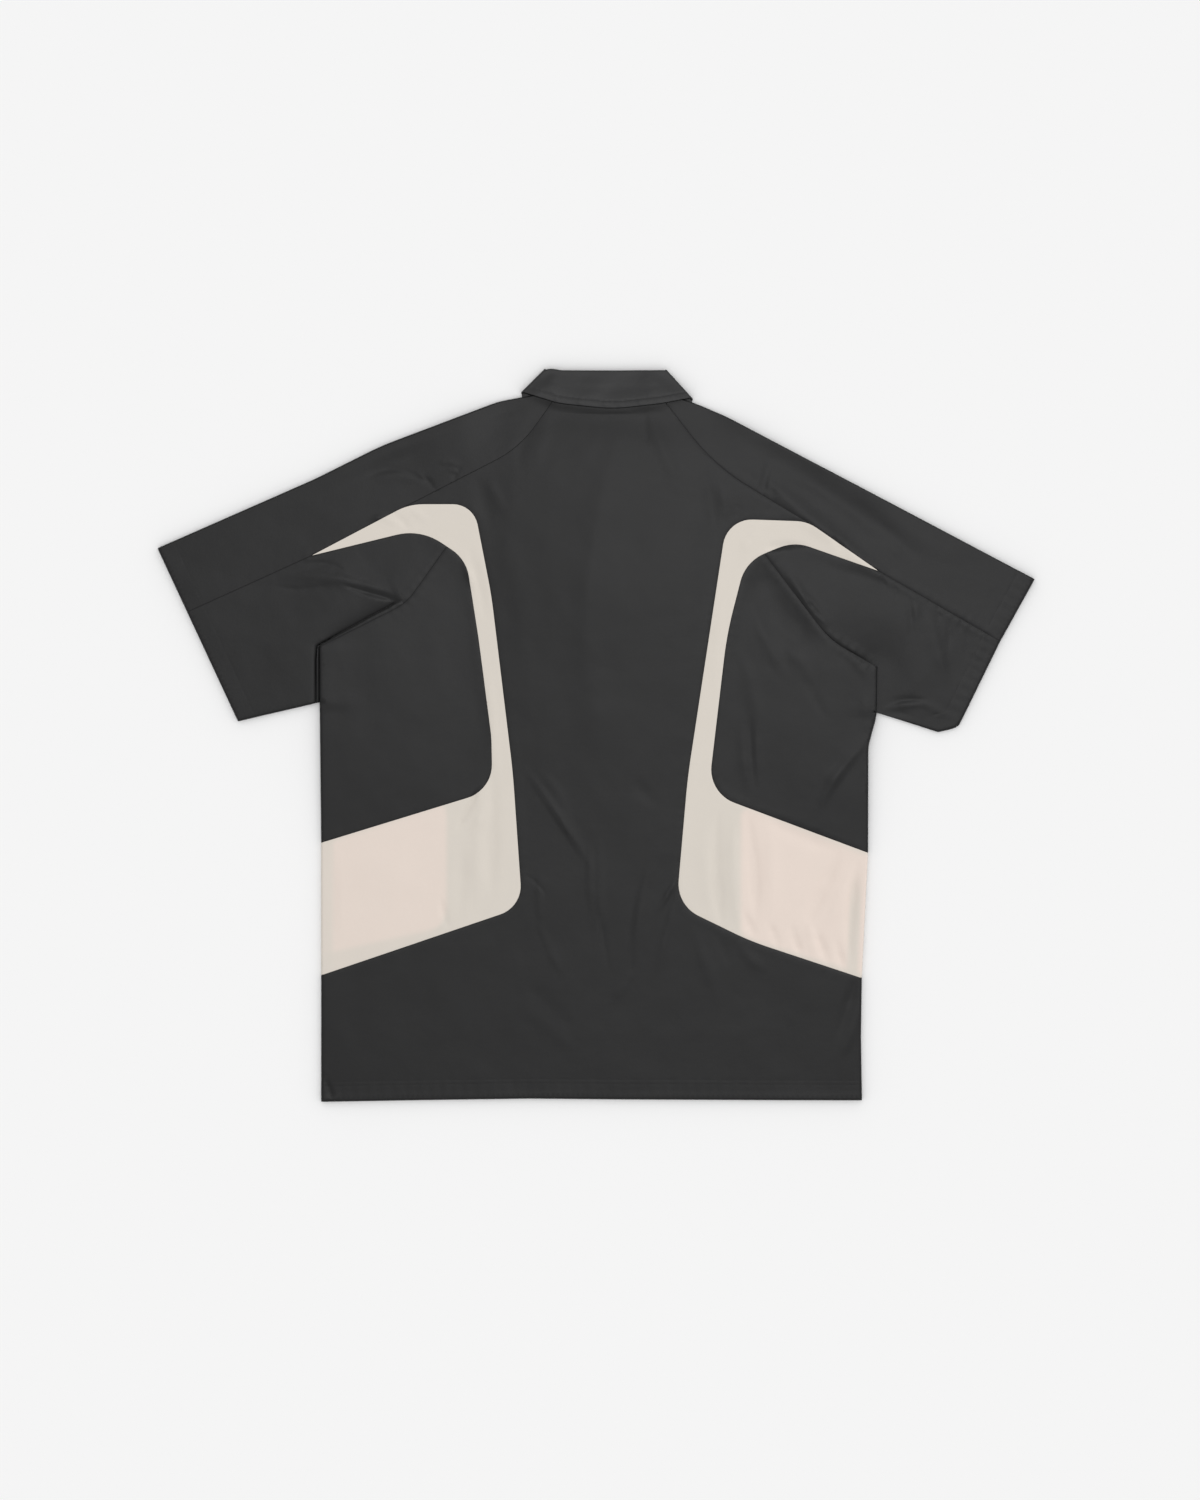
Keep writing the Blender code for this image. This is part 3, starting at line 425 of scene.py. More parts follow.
def from_line(x, y, line, reach=None):
    """Distance to a line, the arc length of the nearest point, and its side: above 0 on the left."""
    d = np.full(np.shape(x), 1e9)
    s = np.zeros(np.shape(x))
    side = np.zeros(np.shape(x))
    at = 0.0
    for a, b in zip(line[:-1], line[1:]):
        wx, wy = b[0] - a[0], b[1] - a[1]
        length = math.hypot(wx, wy)
        if length < 1e-9:
            continue
        ux, uy = x - a[0], y - a[1]
        t = np.clip((ux * wx + uy * wy) / length ** 2, 0, 1)
        e = np.hypot(ux - t * wx, uy - t * wy)
        near = e < d
        d = np.where(near, e, d)
        s = np.where(near, at + t * length, s)
        side = np.where(near, wx * uy - wy * ux, side)
        at += length
    return d, s, side


def thin(line, step):
    """The line with fewer points, for measuring distances to it."""
    keep = [line[0]]
    for p in line[1:-1]:
        if np.linalg.norm(p - keep[-1]) >= step:
            keep.append(p)
    return np.array(keep + [line[-1]])


# ---- lines that pieces share ------------------------------------------------------------------------------------------
hem = rounded(HEM)
neck_back, neck_front = rounded(NECK_BACK), rounded(NECK_FRONT)
L = {}
for side in ("left", "right"):
    shoulder, cuff, underarm = rounded(SHOULDER[side]), rounded(CUFF[side]), rounded(UNDERARM[side])
    seam_line, outer, inner = rounded(SIDE[side]), rounded(OUTER[side]), rounded(INNER[side])
    raglan, armhole, raglan_front = rounded(RAGLAN[side]), rounded(ARMHOLE[side]), rounded(RAGLAN_FRONT[side])
    cuff_upper, cuff_under = split(cuff, SLEEVE_END[side])
    outer_sleeve, outer_body = split(outer, RAGLAN[side][-1])
    inner_sleeve, inner_body = split(inner, ARMHOLE[side][0])
    side_top, rest = split(seam_line, BAND_TOP[side])
    side_band, side_low = split(rest, BAND_BOTTOM[side])
    nb = neck_back if side == "left" else back_of(neck_back)
    nf = neck_front if side == "left" else back_of(neck_front)
    neck_back_sleeve, _ = split(nb, RAGLAN[side][0])
    neck_front_sleeve, _ = split(nf, RAGLAN_FRONT[side][0])
    pit = np.array((PIT[side].x, PIT[side].y))
    L[side] = dict(
        shoulder=shoulder, cuff=cuff, cuff_upper=cuff_upper, cuff_under=cuff_under, underarm=underarm,
        flap=spaced(np.array([underarm[-1], pit]), FINE),
        outer=outer, outer_sleeve=outer_sleeve, outer_body=outer_body,
        inner=inner, inner_sleeve=inner_sleeve, inner_body=inner_body,
        raglan=ending(raglan, outer_sleeve[-1]), armhole=ending(armhole, inner_sleeve[-1], first=True),
        raglan_front=ending(raglan_front, neck_front_sleeve[-1], first=True),
        side_top=side_top, side_band=side_band, side_low=side_low,
        neck_back_sleeve=neck_back_sleeve, neck_front_sleeve=neck_front_sleeve,
        sleeve_seam=spaced(np.array([outer[0], cuff_upper[-1]]), FINE),
        front_band=rounded(FRONT_BAND[side]),
    )
_, neck_back_mid = split(neck_back, RAGLAN["left"][0])
neck_back_mid, _ = split(neck_back_mid, RAGLAN["right"][0])
_, neck_front_mid = split(neck_front, RAGLAN_FRONT["left"][0])
neck_front_mid, _ = split(neck_front_mid, RAGLAN_FRONT["right"][0])
hem = ending(ending(hem, L["left"]["side_low"][-1], first=True), L["right"]["side_low"][-1])
EDGES = [thin(hem, 12), thin(neck_back, 8)]
SEAMS = []
for side in ("left", "right"):
    EDGES += [thin(L[side][k], 8) for k in ("shoulder", "cuff", "side_top", "side_band", "side_low")]
    EDGES += [thin(L[side]["underarm"][:-max(2, round(28 / FINE))], 8)]
    SEAMS += [thin(L[side][k], 6) for k in ("raglan", "outer", "inner", "armhole", "sleeve_seam")]
SEAM_DEPTH = (0.2, 0.45, 0.45, 0.8, 0.35, 0.9, 0.7, 0.7, 1.4, 1.1)   # of those seams: they lie flatter on the left
HEM_LINE = thin(hem, 10)
CUFFS = [thin(L[side]["cuff"], 8) for side in ("left", "right")]
SHOULDERS = [thin(L[side]["shoulder"], 8) for side in ("left", "right")]
COLLAR_LINE, COLLAR_RISE = thin(rounded(LEAF_LOW), 6), 1.7   # the back rises to its neck seam, under the collar's edge
ARMHOLES = [thin(L[side]["armhole"], 6) for side in ("left", "right")]


# ---- working out heights ----------------------------------------------------------------------------------------------
def lift(x, y, row, spread=(1, 1, 1)):
    """1 on the lift's core, 0 at its reach, which is stretched towards the collar, sideways and towards the hem."""
    d, _, _ = from_line(x, y, np.array([(row.x0, row.y0), (row.x1, row.y1)]))
    up = y - np.clip(y, min(row.y0, row.y1), max(row.y0, row.y1))
    across = np.sqrt(np.maximum(d * d - up * up, 0))
    collar, sideways, hem = spread
    stretch = (collar * np.maximum(up, 0) ** 2 + sideways * across ** 2 + hem * np.minimum(up, 0) ** 2) / np.maximum(d * d, 1e-6)
    d = row.core + (d - row.core) / np.where(d > row.core, stretch, 1)
    return smooth((row.reach - d) / (row.reach - row.core))


def raised(x, y, rows):
    """The joint height of lifts, as a sum of cubes, and where they slope."""
    total, slope = 0, 0
    for row, spread in rows:
        s = lift(x, y, row, spread)
        total = total + (row.height * s) ** 3
        slope = slope + 4 * s * (1 - s)
    return total, slope


def body_base(x, y):
    """Mid-cloth of the lower layer of the body, where it is on a slope (0 to 1), and its share of the puff."""
    total, slope = raised(x, y, [(row, (1, 1, 1)) for row in PIT_LIFT + [NECK_LIFT, PLACKET_LIFT]])
    return CLOTH / 2 + total ** (1 / 3), np.clip(slope, 0, 1), 1


def body_over(x, y):
    """What the upper layer of the body follows."""
    rows = [(row, (1, 1, 1)) for row in PIT_LIFT] + [(NECK_LIFT, NECK_SPREAD), (PLACKET_LIFT, PLACKET_SPREAD)]
    total, slope = raised(x, y, rows)
    return CLOTH / 2 + total ** (1 / 3), np.clip(slope, 0, 1), 1


def drop(x, y):
    """Where the left sleeve folds down: 1 just outside the line, 0 inside it and far from it; the swell beyond; and
    how far the part beyond is clear of the body's lift."""
    out, swell, clear = np.zeros(np.shape(x)), np.zeros(np.shape(x)), np.zeros(np.shape(x))
    near = np.nonzero((x < -150) & (y < 260))[0]
    if near.size:
        d, s, side = from_line(x[near], y[near], DROP)
        signed = np.where(side > 0, d, -d)
        beside = smooth((s - 56) / 64)
        off = np.maximum(d - 0.8, 0)
        share = DROP_SHARP + (0.8 - DROP_SHARP) * beside
        slope = (1 - share) * np.exp(-off / DROP_WIDTH) + share * np.exp(-off / (1.1 + (BESIDE_WIDTH - 1.1) * beside))
        beyond = smooth(0.5 - signed / 1.7)
        out[near] = beyond * smooth(s / 12) * slope
        swell[near] = smooth(-signed / 1.5) * (
            DROP_SWELL * (1 - beside) * smooth(s / 50) * (1 - np.exp(-d / 8)) * np.exp(-(d / 60) ** 2)
            + BESIDE_SWELL * beside * smooth((y[near] - 8) / 22) * np.exp(-d / 13))
        clear[near] = beyond * smooth(s / 45)
    return out, swell, clear


def from_corner(x, y, side):
    return np.where(inside(x, y, CORNER[side]), 0, from_line(x, y, CORNER[side])[0])


def sleeve_at(x, y, rows, over):
    total, slope = raised(x, y, rows)
    share = 1
    hug = np.minimum(*(from_line(x, y, ARMHOLES[k])[0] for k in (0, 1)))  # lifted only beside the armhole
    sunk, _, clear = drop(x, y)
    for row, side in zip(PIT_LIFT, ("left", "right")):
        if over:
            full, lifted, reach = CORNER_REACH[side]
            d = from_corner(x, y, side)
            share = share * smooth((d - 0.3) / full)
            s = lift(x, y, row) * smooth((d - 0.3) / lifted) * smooth((reach - hug) / (reach - 8)) * (1 - sunk) * (1 - clear)
        else:
            d, _, _ = from_line(x, y, np.array([(row.x0, row.y0), (row.x1, row.y1)]))
            s = lift(x, y, row) * smooth((d - 14) / 74) * smooth((100 - hug) / 92)
            if side == "left":
                s = s * smooth((from_line(x, y, DROP)[0] - 8) / 30)
            else:
                s = s * smooth((62 - hug) / 54)
            share = share * smooth((d - 6) / 80)
        total = total + (row.height * s) ** 3
        slope = slope + 4 * s * (1 - s)
    return CLOTH / 2 + total ** (1 / 3), np.clip(slope, 0, 1), share


def sleeve_base(x, y):
    return sleeve_at(x, y, [(NECK_LIFT, (1, 1, 1))], False)


def sleeve_over(x, y):
    """What the upper layer of the sleeves follows."""
    return sleeve_at(x, y, [(NECK_LIFT, NECK_SPREAD), (PLACKET_LIFT, PLACKET_SPREAD)], True)


def folds(x, y):
    h = np.zeros(np.shape(x))
    for row in FOLDS:
        line = curve(row)
        d, s, side = from_line(x, y, line)
        t = s / float(np.linalg.norm(np.diff(line, axis=0), axis=1).sum())
        reach = np.where(side > 0, row.left, row.right)
        round_off = 3.0
        h += row.height * np.exp(-(np.sqrt(d * d + round_off ** 2) - round_off) / reach) * smooth(np.minimum(t, 1 - t) / 0.42)
    return h


def creases(x, y, rows):
    h = np.zeros(np.shape(x))
    for number, row in enumerate(rows):
        line = curve(row)
        reach = 3 * row.width * (1 + abs(row.lean))
        low, high = line.min(0) - reach, line.max(0) + reach
        near = np.nonzero((x > low[0]) & (x < high[0]) & (y > low[1]) & (y < high[1]))[0]
        if not near.size:
            continue
        length = float(np.linalg.norm(np.diff(line, axis=0), axis=1).sum())
        d, s, side = from_line(x[near], y[near], line)
        t = s / length
        ends = smooth(np.minimum(t, 1 - t) / 0.44)
        width = row.width * np.where(side > 0, 1 - row.lean, 1 + row.lean) * (0.6 + 0.4 * ends)
        uneven = 1 + 0.16 * np.sin(2 * math.pi * (1.7 * t + 0.37 * number)) + 0.08 * np.sin(2 * math.pi * (4.1 * t + 0.61 * number))
        h[near] += row.height * np.exp(-(d / width) ** 2) * ends * uneven
    return h


def ripple(x, y, rows, seed):
    """Soft unevenness: sums of smooth noise, by wavelength and height."""
    out = np.zeros(np.shape(x))
    for length, height in rows:
        k = 1.0 / length
        out += height * np.array([noise.noise((a * k, b * k, seed)) for a, b in zip(x.tolist(), y.tolist())])
        seed += 7.3
    return out


def edge_distance(x, y):
    """Distance to the nearest edge, and to the nearest one that isn't the neck's."""
    edge = np.full(np.shape(x), 1e9)
    for number, line in enumerate(EDGES):
        if number != 1:
            edge = np.minimum(edge, from_line(x, y, line)[0])
    return np.minimum(edge, from_line(x, y, EDGES[1])[0]), edge


def hem_share(x, y):
    """1 within a turned hem or cuff, 0 past its stitches."""
    d = from_line(x, y, HEM_LINE)[0]
    out = smooth((HEM_DEPTH + 2.0 - d) / 4.5)
    for line in CUFFS:
        out = np.maximum(out, CUFF_SHARE[0 if line is CUFFS[0] else 1] * smooth((CUFF_DEPTH + 1.6 - from_line(x, y, line)[0]) / 3.2))
    return out


def groove(x, y):
    """The dip of the rows of stitches in the hem and the cuffs."""
    out = np.zeros(np.shape(x))
    d, s, _ = from_line(x, y, HEM_LINE)
    for row in HEM_ROWS:
        out -= (0.05 + 0.02 * np.sin(s / 3.1)) * np.exp(-((d - row) / 0.9) ** 2)
    out += 0.07 * np.sin(2 * math.pi * s / 13 + np.sin(s / 21)) * np.exp(-((d - 12) / 10) ** 2)
    for line, share in zip(CUFFS, CUFF_SHARE):
        d, s, _ = from_line(x, y, line)
        for row in CUFF_ROWS:
            out -= share * (0.10 + 0.04 * np.sin(s / 3.1)) * np.exp(-((d - row) / 0.9) ** 2)
        out += 0.08 * share * np.sin(2 * math.pi * s / 12 + np.sin(s / 17)) * np.exp(-((d - 11) / 9) ** 2)
    return out


def seams(x, y, edge):
    """Valleys along the seams, with small puckers beside them."""
    out = np.zeros(np.shape(x))
    for number, line in enumerate(SEAMS):
        near = np.nonzero((x > line[:, 0].min() - 22) & (x < line[:, 0].max() + 22)
                          & (y > line[:, 1].min() - 22) & (y < line[:, 1].max() + 22))[0]
        if not near.size:
            continue
        d, s, _ = from_line(x[near], y[near], line)
        free = smooth(edge[near] / 12)
        valley = SEAM_DEPTH[number] * (-0.26 * np.exp(-(d / 1.4) ** 2) + 0.16 * np.exp(-((d - 4.6) / 3.0) ** 2))
        tuft = 0.5 + 0.5 * np.sin(s / 31 + 1.9 * number)
        pucker = 0.13 * SEAM_DEPTH[number] * tuft * np.sin(2 * math.pi * s / 10.5 + 2.2 * np.sin(s / 47 + number)) * np.exp(-(d / 7) ** 2)
        out[near] += (valley + pucker) * free
    return out


def stand_off(x, y, rolled=1, seed=3.1):
    """How far the upper layer stands off the lower one, past the gap that layers keep."""
    edge, free_edge = edge_distance(x, y)
    h = 0.85 * PUFF * smooth(edge / (1.3 * PUFF_REACH))
    under_collar = smooth((y - 325) / 25) * smooth((120 - np.abs(x - 11)) / 20)
    fold = np.minimum(from_line(x, y, SHOULDERS[0])[0], from_line(x, y, SHOULDERS[1])[0])
    h = h + 0.3 * FOLD_PUFF * np.exp(-fold / 26) * (1 - under_collar)
    by_collar = smooth((y - 262) / 80) * smooth((158 - np.abs(x - 11)) / 50)
    h = h + EDGE_ROLL * smooth(free_edge / 1.3) * np.exp(-(free_edge / 50) ** 2) * (1 - by_collar) * rolled
    free = smooth(edge / 7)
    h = h + creases(x, y, CREASES) * (0.3 + 0.7 * free) + folds(x, y) * smooth(edge / 40)
    h = h + ripple(x, y, ((62, 0.42), (25, 0.17), (11, 0.06)), seed) * smooth(edge / 22)
    h = h + seams(x, y, edge)
    h = h + 0.5 * np.exp(-(from_line(x, y, HEM_LINE)[0] / 7) ** 2)
    h = h + COLLAR_RISE * np.exp(-(from_line(x, y, COLLAR_LINE)[0] / 6.5) ** 2) * smooth((84 - np.abs(x - 9)) / 34)
    for side, (y_high, y_low, rise) in PIT_EDGE.items():
        off = np.abs(x - PIT[side].x)
        along = smooth((y_high + 14 - y) / 18) * smooth((y - y_low + 10) / 14)
        h = h + rise * along * smooth(off / 1.6) * np.exp(-(off / 30) ** 2) * (np.abs(x) < abs(PIT[side].x) + 1)
    return (h + np.sqrt(h * h + 0.2)) / 2


def upper(base):
    def height(x, y):
        low, slope, share = base(x, y)
        rolled = 1 - np.exp(-(from_corner(x, y, "right") / CORNER_CALM) ** 2) if base is sleeve_over else 1
        z = low + LAYER + 0.35 * slope + share * stand_off(x, y, rolled)
        if base is sleeve_over:  # down on the cloth below, where the sleeve folds down
            sunk, swell, _ = drop(x, y)
            z = z + swell
            z = z - sunk * np.maximum(z - low - LAYER + 0.12, 0)
        return z - 0.05 * hem_share(x, y) + groove(x, y)
    return height


def lower(base):
    def height(x, y):
        low, _, share = base(x, y)
        edge = edge_distance(x, y)[0]
        free = smooth(edge / 30) * share
        rise = creases(x, y, UNDER_CREASES) + ripple(x, y, ((48, 0.25),), 11.0) + 0.12
        return low + np.clip(rise, 0, 1.1) * free + 0.12 * hem_share(x, y)
    return height


def level(z):
    return lambda x, y: np.full(np.shape(x), float(z))


def wall(extra, base=CLOTH):
    """Thickness of the cloth: more in the hems."""
    return lambda x, y: base + extra * hem_share(x, y)


# ---- making cloth -------------------------------------------------------------------------------------------------------
def inset_outline(runs):
    """The closed outline of runs of (line, inset, is_fold), each edge moved in by its own inset, with no loops."""
    pts, inset, fold = [], [], []
    for line, d, is_fold in runs:
        for p in line[:-1]:
            if pts and np.linalg.norm(p - pts[-1]) < 0.4:
                inset[-1], fold[-1] = d, is_fold
                continue
            pts.append(p)
            inset.append(d)
            fold.append(is_fold)
    if np.linalg.norm(pts[0] - pts[-1]) < 0.4:
        pts.pop(), inset.pop(), fold.pop()
    n = len(pts)
    area = sum(pts[i][0] * pts[(i + 1) % n][1] - pts[(i + 1) % n][0] * pts[i][1] for i in range(n)) / 2
    if area < 0:
        pts = pts[::-1]
        inset = [inset[(n - 2 - j) % n] for j in range(n)]
        fold = [fold[(n - 2 - j) % n] for j in range(n)]
    moved = []
    for i in range(n):
        a, b, c = pts[i - 1], pts[i], pts[(i + 1) % n]
        n1 = np.array((-(b - a)[1], (b - a)[0])) / np.linalg.norm(b - a)
        n2 = np.array((-(c - b)[1], (c - b)[0])) / np.linalg.norm(c - b)
        d1, d2 = inset[i - 1], inset[i]
        cross = n1[0] * n2[1] - n1[1] * n2[0]
        if abs(cross) < 0.05:
            moved.append(b + (n1 + n2) / np.linalg.norm(n1 + n2) * (d1 + d2) / 2)
        else:
            moved.append(b + np.array((d1 * n2[1] - d2 * n1[1], n1[0] * d2 - n2[0] * d1)) / cross)
    moved = np.array(moved)
    keep = np.ones(n, bool)
    for line, d, _ in runs:
        keep &= from_line(moved[:, 0], moved[:, 1], line)[0] >= 0.93 * d - 1e-6
    marks = [i for i in range(n) if keep[i]]
    folds = []
    for j, i in enumerate(marks):
        nxt = marks[(j + 1) % len(marks)]
        span = range(i, nxt if nxt > i else nxt + n)
        folds.append(all(fold[k % n] for k in span))
    return moved[marks], folds


def inside(x, y, loop):
    """Which points are inside the closed loop."""
    odd = np.zeros(np.shape(x), bool)
    a = loop
    b = np.roll(loop, -1, axis=0)
    for (ax, ay), (bx, by) in zip(a, b):
        if ay == by:
            continue
        crosses = (ay > y) != (by > y)
        odd ^= crosses & (x < (bx - ax) * (y - ay) / (by - ay) + ax)
    return odd


def sheet_of(runs, height, thickness, grid, extra=()):
    """One sheet of mid-cloth: (points, triangles facing up, the number of outline points, which of them start a fold edge)."""
    loop, fold = inset_outline(runs)
    n = len(loop)
    ahead, behind = np.roll(loop, -1, axis=0), np.roll(loop, 1, axis=0)
    along = ahead - behind
    along /= np.maximum(np.linalg.norm(along, axis=1), 1e-9)[:, None]
    inward = np.c_[-along[:, 1], along[:, 0]]
    closed = np.vstack([loop, loop[:1]])
    rings = []
    for r in RINGS:
        if r > 0.8 * grid + 2:
            continue
        ring = loop + inward * r
        if r > 2:
            ring = ring[::2]
        rings.append(ring)
    rings = np.vstack(rings)
    rings = rings[inside(rings[:, 0], rings[:, 1], loop)]
    d = from_line(rings[:, 0], rings[:, 1], closed)[0]
    low, high = loop.min(0), loop.max(0)
    step_y = grid * math.sqrt(3) / 2
    ys = np.arange(low[1] + 0.37 * grid, high[1], step_y)
    xs = np.arange(low[0] + 0.21 * grid, high[0], grid)
    gx, gy = np.meshgrid(xs, ys)
    gx = gx + 0.5 * grid * (np.arange(len(ys)) % 2)[:, None]
    cells = np.c_[gx.ravel(), gy.ravel()]
    cells = cells[inside(cells[:, 0], cells[:, 1], loop)]
    cells = cells[from_line(cells[:, 0], cells[:, 1], closed)[0] > min(RINGS[-1], 0.8 * grid + 2) + 0.45 * grid]
    groups = [rings[d > 0.35]]
    for line, offsets in extra:
        t = np.gradient(line, axis=0)
        t /= np.maximum(np.linalg.norm(t, axis=1), 1e-9)[:, None]
        across = np.c_[-t[:, 1], t[:, 0]]
        rows = np.vstack([line + across * o for o in offsets])
        rows = rows[inside(rows[:, 0], rows[:, 1], loop)]
        if not len(rows):
            continue
        rows = rows[from_line(rows[:, 0], rows[:, 1], closed)[0] > 0.7]
        reach = max(abs(o) for o in offsets)
        cells = cells[from_line(cells[:, 0], cells[:, 1], line)[0] > reach + 0.4 * grid]
        groups.append(rows)
    groups.append(cells)
    pts = np.vstack(groups)
    cell = {}
    kept = []
    for p in pts.tolist():  # drops points that crowd each other
        key = (int(p[0] // 0.5), int(p[1] // 0.5))
        if key in cell:
            continue
        cell[key] = True
        kept.append(p)
    verts = [Vector(p) for p in loop.tolist()] + [Vector(p) for p in kept]
    out = delaunay_2d_cdt(verts, [], [list(range(n))], 1, 1e-5)
    co = np.array([(v.x, v.y) for v in out[0]])
    tris = np.array([f for f in out[2] if len(f) == 3], int)
    a, b, c = co[tris[:, 0]], co[tris[:, 1]], co[tris[:, 2]]
    turned = (b[:, 0] - a[:, 0]) * (c[:, 1] - a[:, 1]) - (b[:, 1] - a[:, 1]) * (c[:, 0] - a[:, 0])
    tris[turned < 0] = tris[turned < 0][:, ::-1]
    tris = tris[np.abs(turned) > 1e-6]
    where = np.full(len(verts), -1)
    for i, origin in enumerate(out[3]):
        for o in origin:
            where[o] = i
    z = height(co[:, 0], co[:, 1])
    t = thickness(co[:, 0], co[:, 1])
    return np.c_[co, z], tris, t, where[:n], fold


def fold_chain(where, fold):
    """The outline's vertices along its fold edges, as open chains."""
    n = len(where)
    chains = []
    for i in range(n):
        if fold[i] and not fold[i - 1]:
            chain = [where[i]]
            k = i
            while fold[k % n]:
                k += 1
                chain.append(where[k % n])
            chains.append(chain)
    return chains


def matched(a, line):
    """For each of the points, the place on the line that is at the same share of the way."""
    def share(pts):
        s = np.concatenate([[0], np.cumsum(np.linalg.norm(np.diff(pts[:, :2], axis=0), axis=1))])
        return s / s[-1]
    at, along = share(a), share(line)
    return np.c_[[np.interp(at, along, line[:, k]) for k in range(3)]].T


def between(r, s, V):
    """Triangles between two rows of points, which may differ in number."""
    if len(r) == len(s):
        return np.vstack([np.c_[r[1:], r[:-1], s[:-1]], np.c_[r[1:], s[:-1], s[1:]]])
    out, i, j = [], 0, 0
    while i < len(r) - 1 or j < len(s) - 1:
        step_r = np.linalg.norm(V[r[i + 1]] - V[s[j]]) if i < len(r) - 1 else 1e9
        step_s = np.linalg.norm(V[r[i]] - V[s[j + 1]]) if j < len(s) - 1 else 1e9
        if step_r <= step_s:
            out.append((r[i + 1], r[i], s[j]))
            i += 1
        else:
            out.append((r[i], s[j], s[j + 1]))
            j += 1
    return np.array(out)


def shell(name, sheets, turns=()):
    """A closed shell of cloth. sheets: (points, triangles, thickness, ...); the first faces up and the others down.
    turns: (reach) of the half rounds that join the folds of the first sheet to those of the others."""
    V, T, K, chains = [], [], [], []
    base = 0
    for number, (co, tris, t, where, fold) in enumerate(sheets):
        V.append(co)
        T.append((tris if number == 0 else tris[:, ::-1]) + base)
        K.append(t)
        chains.append([[int(v) + base for v in c] for c in fold_chain(where, fold)])
        base += len(co)
    V, K = np.vstack(V), np.concatenate(K)
    if turns:
        free = [c for group in chains[1:] for c in group]
        for top in chains[0]:
            ends = V[[top[0], top[-1]], :2]

            def apart(c):
                e = V[[c[0], c[-1]], :2]
                return min(np.abs(e - ends).sum(), np.abs(e[::-1] - ends).sum())
            low = min(free, key=apart)
            free.remove(low)
            if np.abs(V[[low[0], low[-1]], :2] - ends).sum() > np.abs(V[[low[-1], low[0]], :2] - ends).sum():
                low = low[::-1]
            a = V[top]
            b = V[low] if len(low) == len(top) else matched(a, V[low])
            along = np.gradient(a[:, :2], axis=0)
            along /= np.linalg.norm(along, axis=1)[:, None]
            out = np.c_[along[:, 1], -along[:, 0]]  # the sheet is on the left of its outline
            rows = [np.array(top)]
            steps = 9
            for k in range(1, steps):
                angle = math.pi * k / steps
                share = (1 - math.cos(angle)) / 2
                row = a + (b - a) * share
                row[:, :2] += out * turns[0] * math.sin(angle)
                rows.append(np.arange(len(V), len(V) + len(row)))
                V = np.vstack([V, row])
                K = np.concatenate([K, K[top] + (K[low].mean() - K[top]) * share])
            rows.append(np.array(low))
            T += [between(r, s, V) for r, s in zip(rows[:-1], rows[1:])]
    T = np.vstack(T)
    T = T[(T[:, 0] != T[:, 1]) & (T[:, 1] != T[:, 2]) & (T[:, 0] != T[:, 2])]
    face = np.cross(V[T[:, 1]] - V[T[:, 0]], V[T[:, 2]] - V[T[:, 0]])
    N = np.zeros_like(V)
    for k in range(3):
        np.add.at(N, T[:, k], face)
    N /= np.maximum(np.linalg.norm(N, axis=1), 1e-12)[:, None]
    # the outline's edges: those of one triangle only
    half = np.vstack([T[:, [0, 1]], T[:, [1, 2]], T[:, [2, 0]]])
    key = half[:, 0].astype(np.int64) * len(V) + half[:, 1]
    back = half[:, 1].astype(np.int64) * len(V) + half[:, 0]
    rim = half[~np.isin(key, back)]
    out = np.zeros_like(V)
    edge = V[rim[:, 1]] - V[rim[:, 0]]
    edge /= np.maximum(np.linalg.norm(edge, axis=1), 1e-12)[:, None]
    for k in range(2):
        away = np.cross(edge, N[rim[:, k]])
        np.add.at(out, rim[:, k], away)
    length = np.linalg.norm(out, axis=1)
    out[length > 0] /= length[length > 0][:, None]
    count = len(V)
    half_wall = K[:, None] / 2
    rim_out = np.minimum(half_wall, RIM)
    points = [V + N * half_wall, V - N * half_wall]
    faces = [T, T[:, ::-1] + count]
    on_rim = np.unique(rim)
    place = np.full(count, -1)
    place[on_rim] = np.arange(len(on_rim))
    levels = [rim]
    first = 2 * count
    for angle in (36, 72, 108, 144):
        c, s = math.cos(math.radians(angle)), math.sin(math.radians(angle))
        points.append(V[on_rim] + N[on_rim] * c * half_wall[on_rim] + out[on_rim] * s * rim_out[on_rim])
        levels.append(place[rim] + first)
        first += len(on_rim)
    levels.append(rim + count)
    for r, s in zip(levels[:-1], levels[1:]):
        faces.append(np.c_[r[:, 1], r[:, 0], s[:, 0]])
        faces.append(np.c_[r[:, 1], s[:, 0], s[:, 1]])
    return mesh_object(name, np.vstack(points), np.vstack(faces))


def mesh_object(name, points, faces):
    mesh = bpy.data.meshes.new(name)
    mesh.vertices.add(len(points))
    mesh.vertices.foreach_set("co", (points * MM).astype(np.float32).ravel())
    mesh.loops.add(faces.size)
    mesh.loops.foreach_set("vertex_index", faces.astype(np.int32).ravel())
    mesh.polygons.add(len(faces))
    mesh.polygons.foreach_set("loop_start", np.arange(0, faces.size, faces.shape[1], dtype=np.int32))
    mesh.polygons.foreach_set("use_smooth", np.ones(len(faces), bool))
    mesh.update(calc_edges=True)
    mesh.validate()
    obj = bpy.data.objects.new(name, mesh)
    bpy.context.scene.collection.objects.link(obj)
    return obj


def point_value(obj, name, function):
    """A number for each point of the piece, worked out from its x and y in millimetres."""
    co = np.zeros(len(obj.data.vertices) * 3, np.float32)
    obj.data.vertices.foreach_get("co", co)
    co = co.reshape(-1, 3) / MM
    values = function(co[:, 0].astype(float), co[:, 1].astype(float), co[:, 2].astype(float))
    obj.data.attributes.new(name, "FLOAT", "POINT").data.foreach_set("value", values.astype(np.float32))


